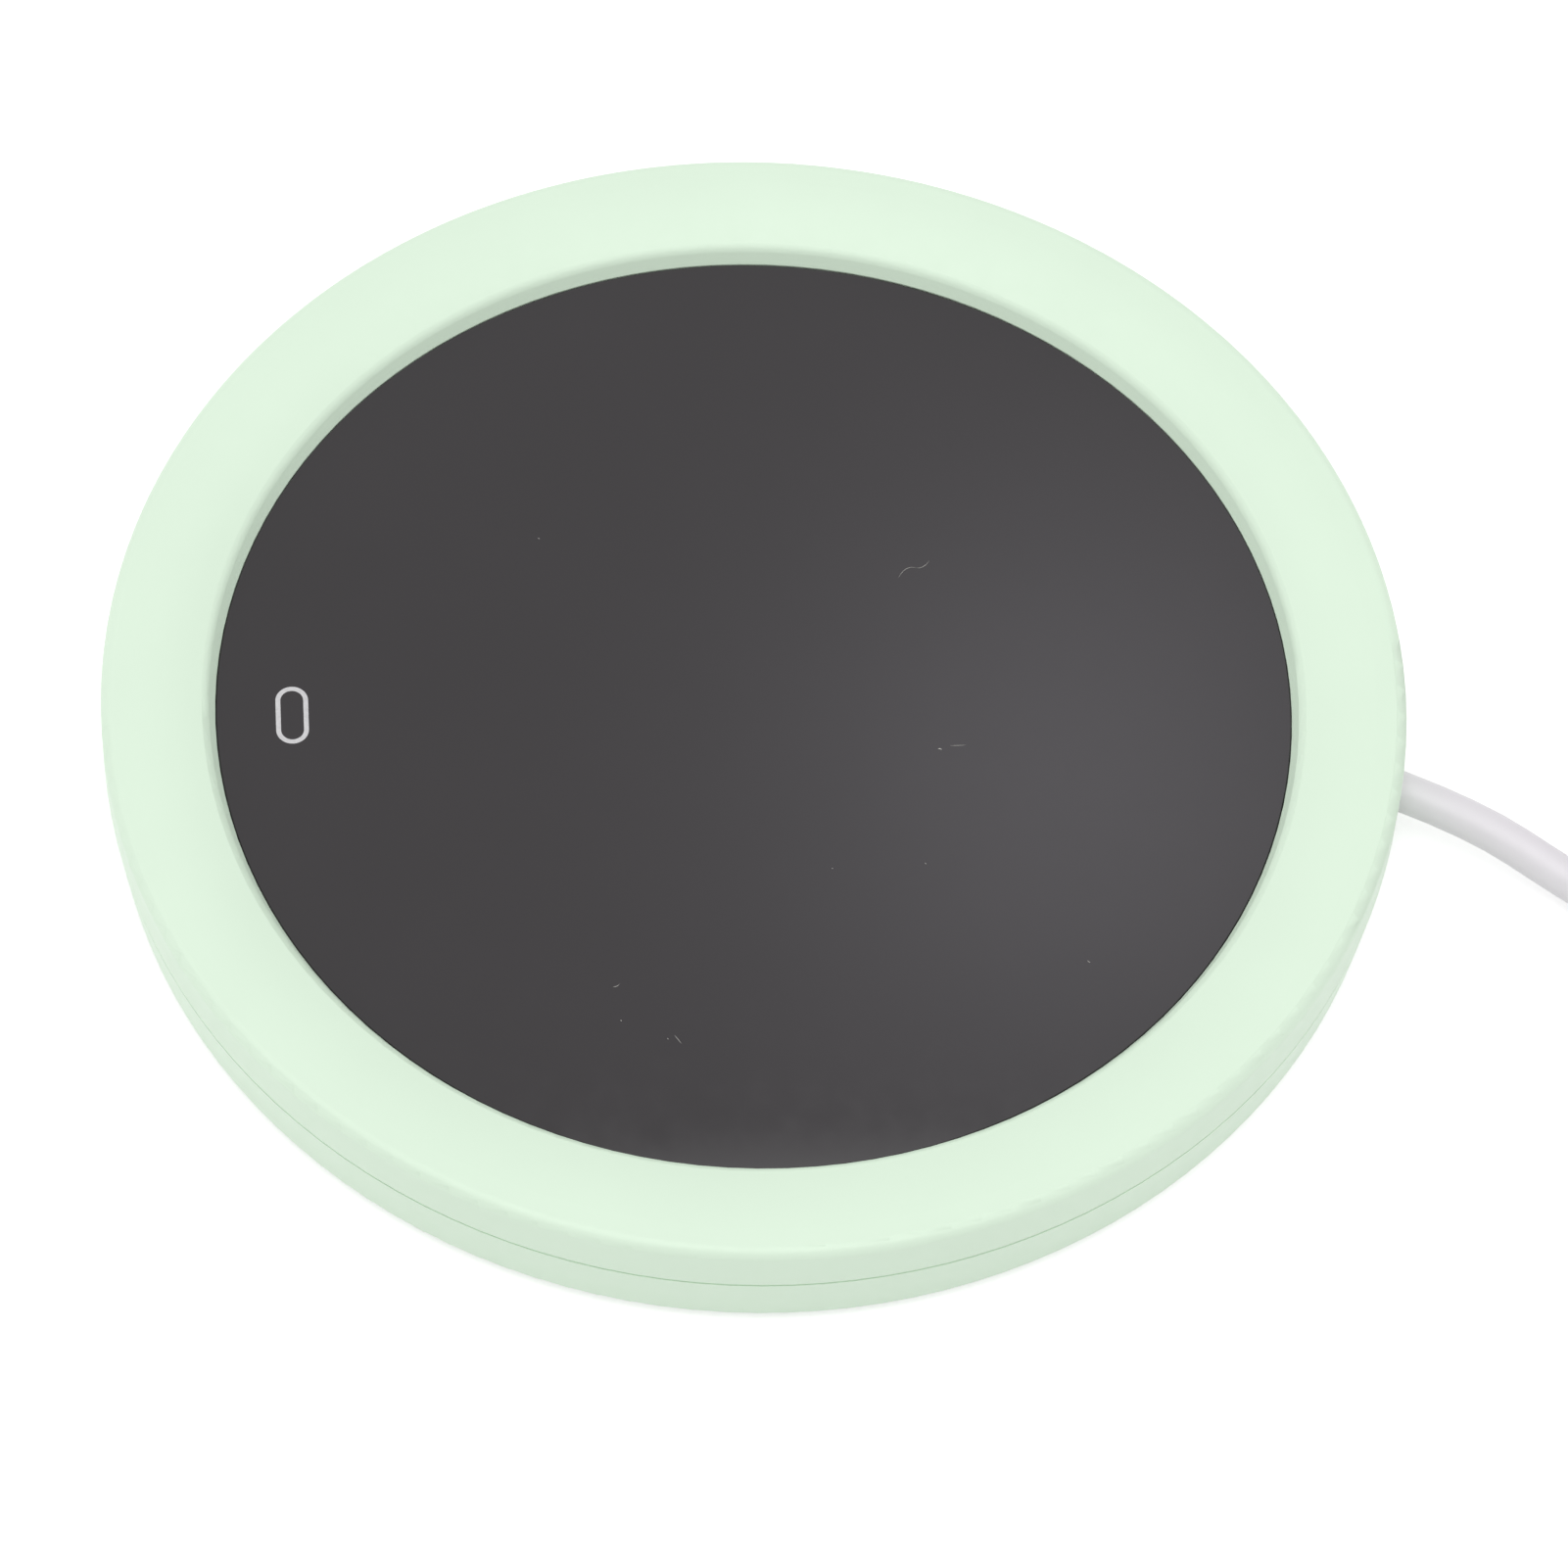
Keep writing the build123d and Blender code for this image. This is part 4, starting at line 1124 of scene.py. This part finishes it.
@dataclass(frozen=True)
class Lamp:
    """A soft square lamp that points at the part and that gloss doesn't show.

    Attributes:
        name: Its name.
        place: Where it hangs, in metres.
        size: Side of the square, in metres.
        power: Its power in watts.
    """

    name: str
    place: Point
    size: float
    power: float

    def build(self) -> None:
        """Hangs the lamp."""
        data = bpy.data.lights.new(self.name, "AREA")
        data.shape = "SQUARE"
        data.size = self.size
        data.energy = self.power
        lamp = bpy.data.objects.new(self.name, data)
        lamp.location = self.place
        lamp.rotation_euler = (-Vector(self.place)).to_track_quat("-Z", "Y").to_euler()
        lamp.visible_glossy = False
        bpy.context.scene.collection.objects.link(lamp)


@dataclass(frozen=True)
class Panel:
    """A round light panel in the sky, which only gloss shows.

    Attributes:
        direction: Where its middle is.
        strength: How much brighter it is than the sky.
        inner: Angular radius, in degrees, up to which it is full.
        outer: Angular radius, in degrees, at which it ends.
    """

    direction: Point
    strength: float
    inner: float
    outer: float

    def light(self, tree: Tree) -> Socket:
        """Gives the panel's share of the sky's light.

        Args:
            tree: The sky's node tree.

        Returns:
            The strength.
        """
        edge = tree.nodes.new("ShaderNodeMapRange")
        edge.interpolation_type = "SMOOTHSTEP"
        edge.inputs["From Min"].default_value = math.cos(math.radians(self.outer))
        edge.inputs["From Max"].default_value = math.cos(math.radians(self.inner))
        edge.inputs["To Max"].default_value = self.strength
        tree.links.new(tree.nearness(self.direction), edge.inputs["Value"])
        glossy = tree.nodes.new("ShaderNodeLightPath").outputs["Is Glossy Ray"]
        return tree.math("MULTIPLY", edge.outputs[0], glossy)


@dataclass(frozen=True)
class Sky:
    """The light from all round, which is white wherever it is seen directly.

    Attributes:
        strength: Its strength.
        lean: How much brighter it is on the touch key's side than overhead, as a share.
        sides: How much brighter it is on that side and on the one across, as a share.
        back: How much brighter it is behind the part than overhead, as a share.
        glow_direction: Where it has its soft bright patch.
        glow_colour: How much brighter the patch is, in each channel.
        glow_width: Angular radius of the patch, in radians.
        panels: The light panels overhead.
    """

    strength: float = 0.722
    lean: float = 0.14
    sides: float = 0.43
    back: float = 0.08
    glow_direction: Point = (-0.528, 0.096, 0.844)
    glow_colour: Colour = (0.84, 0.82, 0.90)
    glow_width: float = 0.041
    panels: tuple[Panel, ...] = (
        Panel((0.139, 0.05, 0.99), strength=1.2, inner=37.1, outer=37.6),
        Panel((0.250, 0.05, 0.97), strength=1.0, inner=12.0, outer=34.0),
    )

    def _even_light(self, tree: Tree) -> Socket:
        """Gives the even light: brighter behind and at two sides, and most at the touch key's.

        Args:
            tree: The sky's node tree.

        Returns:
            The strength.
        """
        side = tree.nearness((0.0, -1.0, 0.0))
        back = tree.nearness((-1.0, 0.0, 0.0))
        slope = tree.math("ADD", tree.math("MULTIPLY", side, self.sides), self.lean)
        both_sides = tree.math("MULTIPLY", slope, side)
        extra = tree.math("ADD", both_sides, tree.math("MULTIPLY", back, self.back))
        return tree.math("MULTIPLY", tree.math("ADD", extra, 1.0), self.strength)

    def _glow(self, tree: Tree) -> Socket:
        """Gives the soft patch's light, which fades like a bell curve.

        Args:
            tree: The sky's node tree.

        Returns:
            The strength: 1 at the patch's middle and 0 away from it.
        """
        away = tree.math("SUBTRACT", tree.nearness(self.glow_direction), 1.0)
        return tree.math("EXPONENT", tree.math("MULTIPLY", away, 2 / self.glow_width**2))

    def build(self) -> None:
        """Lights the scene from all round and shows plain white behind it."""
        world = bpy.data.worlds.new("studio_world")
        bpy.context.scene.world = world
        world.use_nodes = True
        tree = Tree(world.node_tree)
        tree.nodes.clear()
        level = tree.nodes.new("ShaderNodeMapRange")
        tree.links.new(tree.seen_directly(), level.inputs["Value"])
        tree.links.new(self._even_light(tree), level.inputs["To Min"])
        level.inputs["To Max"].default_value = 1.0
        lights = (
            (WHITE, level.outputs[0]),
            (self.glow_colour, self._glow(tree)),
            *((WHITE, panel.light(tree)) for panel in self.panels),
        )
        total = None
        for colour, strength in lights:
            light = tree.nodes.new("ShaderNodeBackground")
            light.inputs["Color"].default_value = (*colour, 1.0)
            tree.links.new(strength, light.inputs["Strength"])
            total = tree.sum_of(total, light.outputs[0]) if total else light.outputs[0]
        tree.links.new(total, tree.nodes.new("ShaderNodeOutputWorld").inputs["Surface"])


@dataclass(frozen=True)
class Floor:
    """The pale floor, which the camera sees as white and which keeps the part's shadow.

    Attributes:
        size: Its side, in metres.
        colour: Its colour, linear.
        lift: Share of white that the camera sees over the floor's own light.
    """

    size: float = 3.0
    colour: Colour = (0.80, 0.80, 0.80)
    lift: float = 0.5

    def _paper(self) -> bpy.types.Material:
        """Makes the floor's material.

        Returns:
            A pale matt paper, lifted towards white where it is seen.
        """
        material = bpy.data.materials.new("floor_paper")
        material.use_nodes = True
        tree = Tree(material.node_tree)
        tree.nodes.clear()
        output = tree.nodes.new("ShaderNodeOutputMaterial")
        paper = tree.nodes.new("ShaderNodeBsdfDiffuse")
        paper.inputs["Color"].default_value = (*self.colour, 1.0)
        lift = tree.nodes.new("ShaderNodeEmission")
        lift.inputs["Color"].default_value = (*WHITE, 1.0)
        amount = tree.math("MULTIPLY", tree.seen_directly(), self.lift)
        tree.links.new(amount, lift.inputs["Strength"])
        both = tree.sum_of(paper.outputs[0], lift.outputs[0])
        tree.links.new(both, output.inputs["Surface"])
        return material

    def build(self) -> None:
        """Lays the floor."""
        half = self.size / 2
        data = bpy.data.meshes.new("floor")
        corners = [(-half, -half, 0.0), (half, -half, 0.0), (half, half, 0.0), (-half, half, 0.0)]
        data.from_pydata(corners, [], [(0, 1, 2, 3)])
        floor = bpy.data.objects.new("floor", data)
        bpy.context.scene.collection.objects.link(floor)
        data.materials.append(self._paper())


@dataclass(frozen=True)
class Camera:
    """The long-lens camera.

    Attributes:
        place: Where it stands, in metres.
        right: Its own x axis.
        up: Its own y axis.
        lens: Focal length in millimetres.
        sensor: Sensor width in millimetres.
        nearest: Nearest distance that it sees, in metres.
        farthest: Farthest distance that it sees, in metres.
    """

    place: Point = (0.39030, -0.03930, 0.61638)
    right: Point = (0.05838, 0.99780, 0.03157)
    up: Point = (-0.84514, 0.03257, 0.53355)
    lens: float = 179.9
    sensor: float = 36.0
    nearest: float = 0.01
    farthest: float = 20.0

    def build(self) -> None:
        """Adds the camera and makes it the scene's."""
        data = bpy.data.cameras.new("studio_camera")
        data.lens = self.lens
        data.sensor_fit = "HORIZONTAL"
        data.sensor_width = self.sensor
        data.clip_start = self.nearest
        data.clip_end = self.farthest
        camera = bpy.data.objects.new("studio_camera", data)
        bpy.context.scene.collection.objects.link(camera)
        right = Vector(self.right).normalized()
        up = Vector(self.up)
        up = (up - right * up.dot(right)).normalized()
        turn = Matrix((right, up, right.cross(up))).transposed()
        camera.matrix_world = Matrix.Translation(self.place) @ turn.to_4x4()
        bpy.context.scene.camera = camera


@dataclass(frozen=True)
class Studio:
    """Camera, sky, floor and lamp.

    Attributes:
        camera: The camera.
        sky: The light from all round.
        floor: The floor.
        lamp: The lamp.
    """

    camera: Camera = Camera()
    sky: Sky = Sky()
    floor: Floor = Floor()
    lamp: Lamp = Lamp("overhead_lamp", (0.31, 0.0, 1.47), size=0.7, power=4.1)

    def build(self) -> None:
        """Builds the whole studio."""
        bpy.context.scene.view_settings.view_transform = "Standard"
        for item in (self.camera, self.sky, self.floor, self.lamp):
            item.build()
            LOG.info("studio: %s", type(item).__name__)


def write_sizes() -> None:
    """Only updates the view layer; no sizes are written.
    """
    bpy.context.view_layer.update()


def main() -> None:
    """Builds the studio and the pieces in order."""
    logging.basicConfig(level=logging.INFO, format="%(message)s")
    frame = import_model()
    nodes = frame["nodes"]
    Studio().build()
    finishes = Finishes()
    Lead().build(finishes, nodes)
    for group in (HOUSING, PANEL, HEATER, WIRING, CONTROL, FASTENINGS, PLUG):
        group.dress(nodes, finishes)
    GlassDust().build()
    write_sizes()


if __name__ == "__main__":
    main()
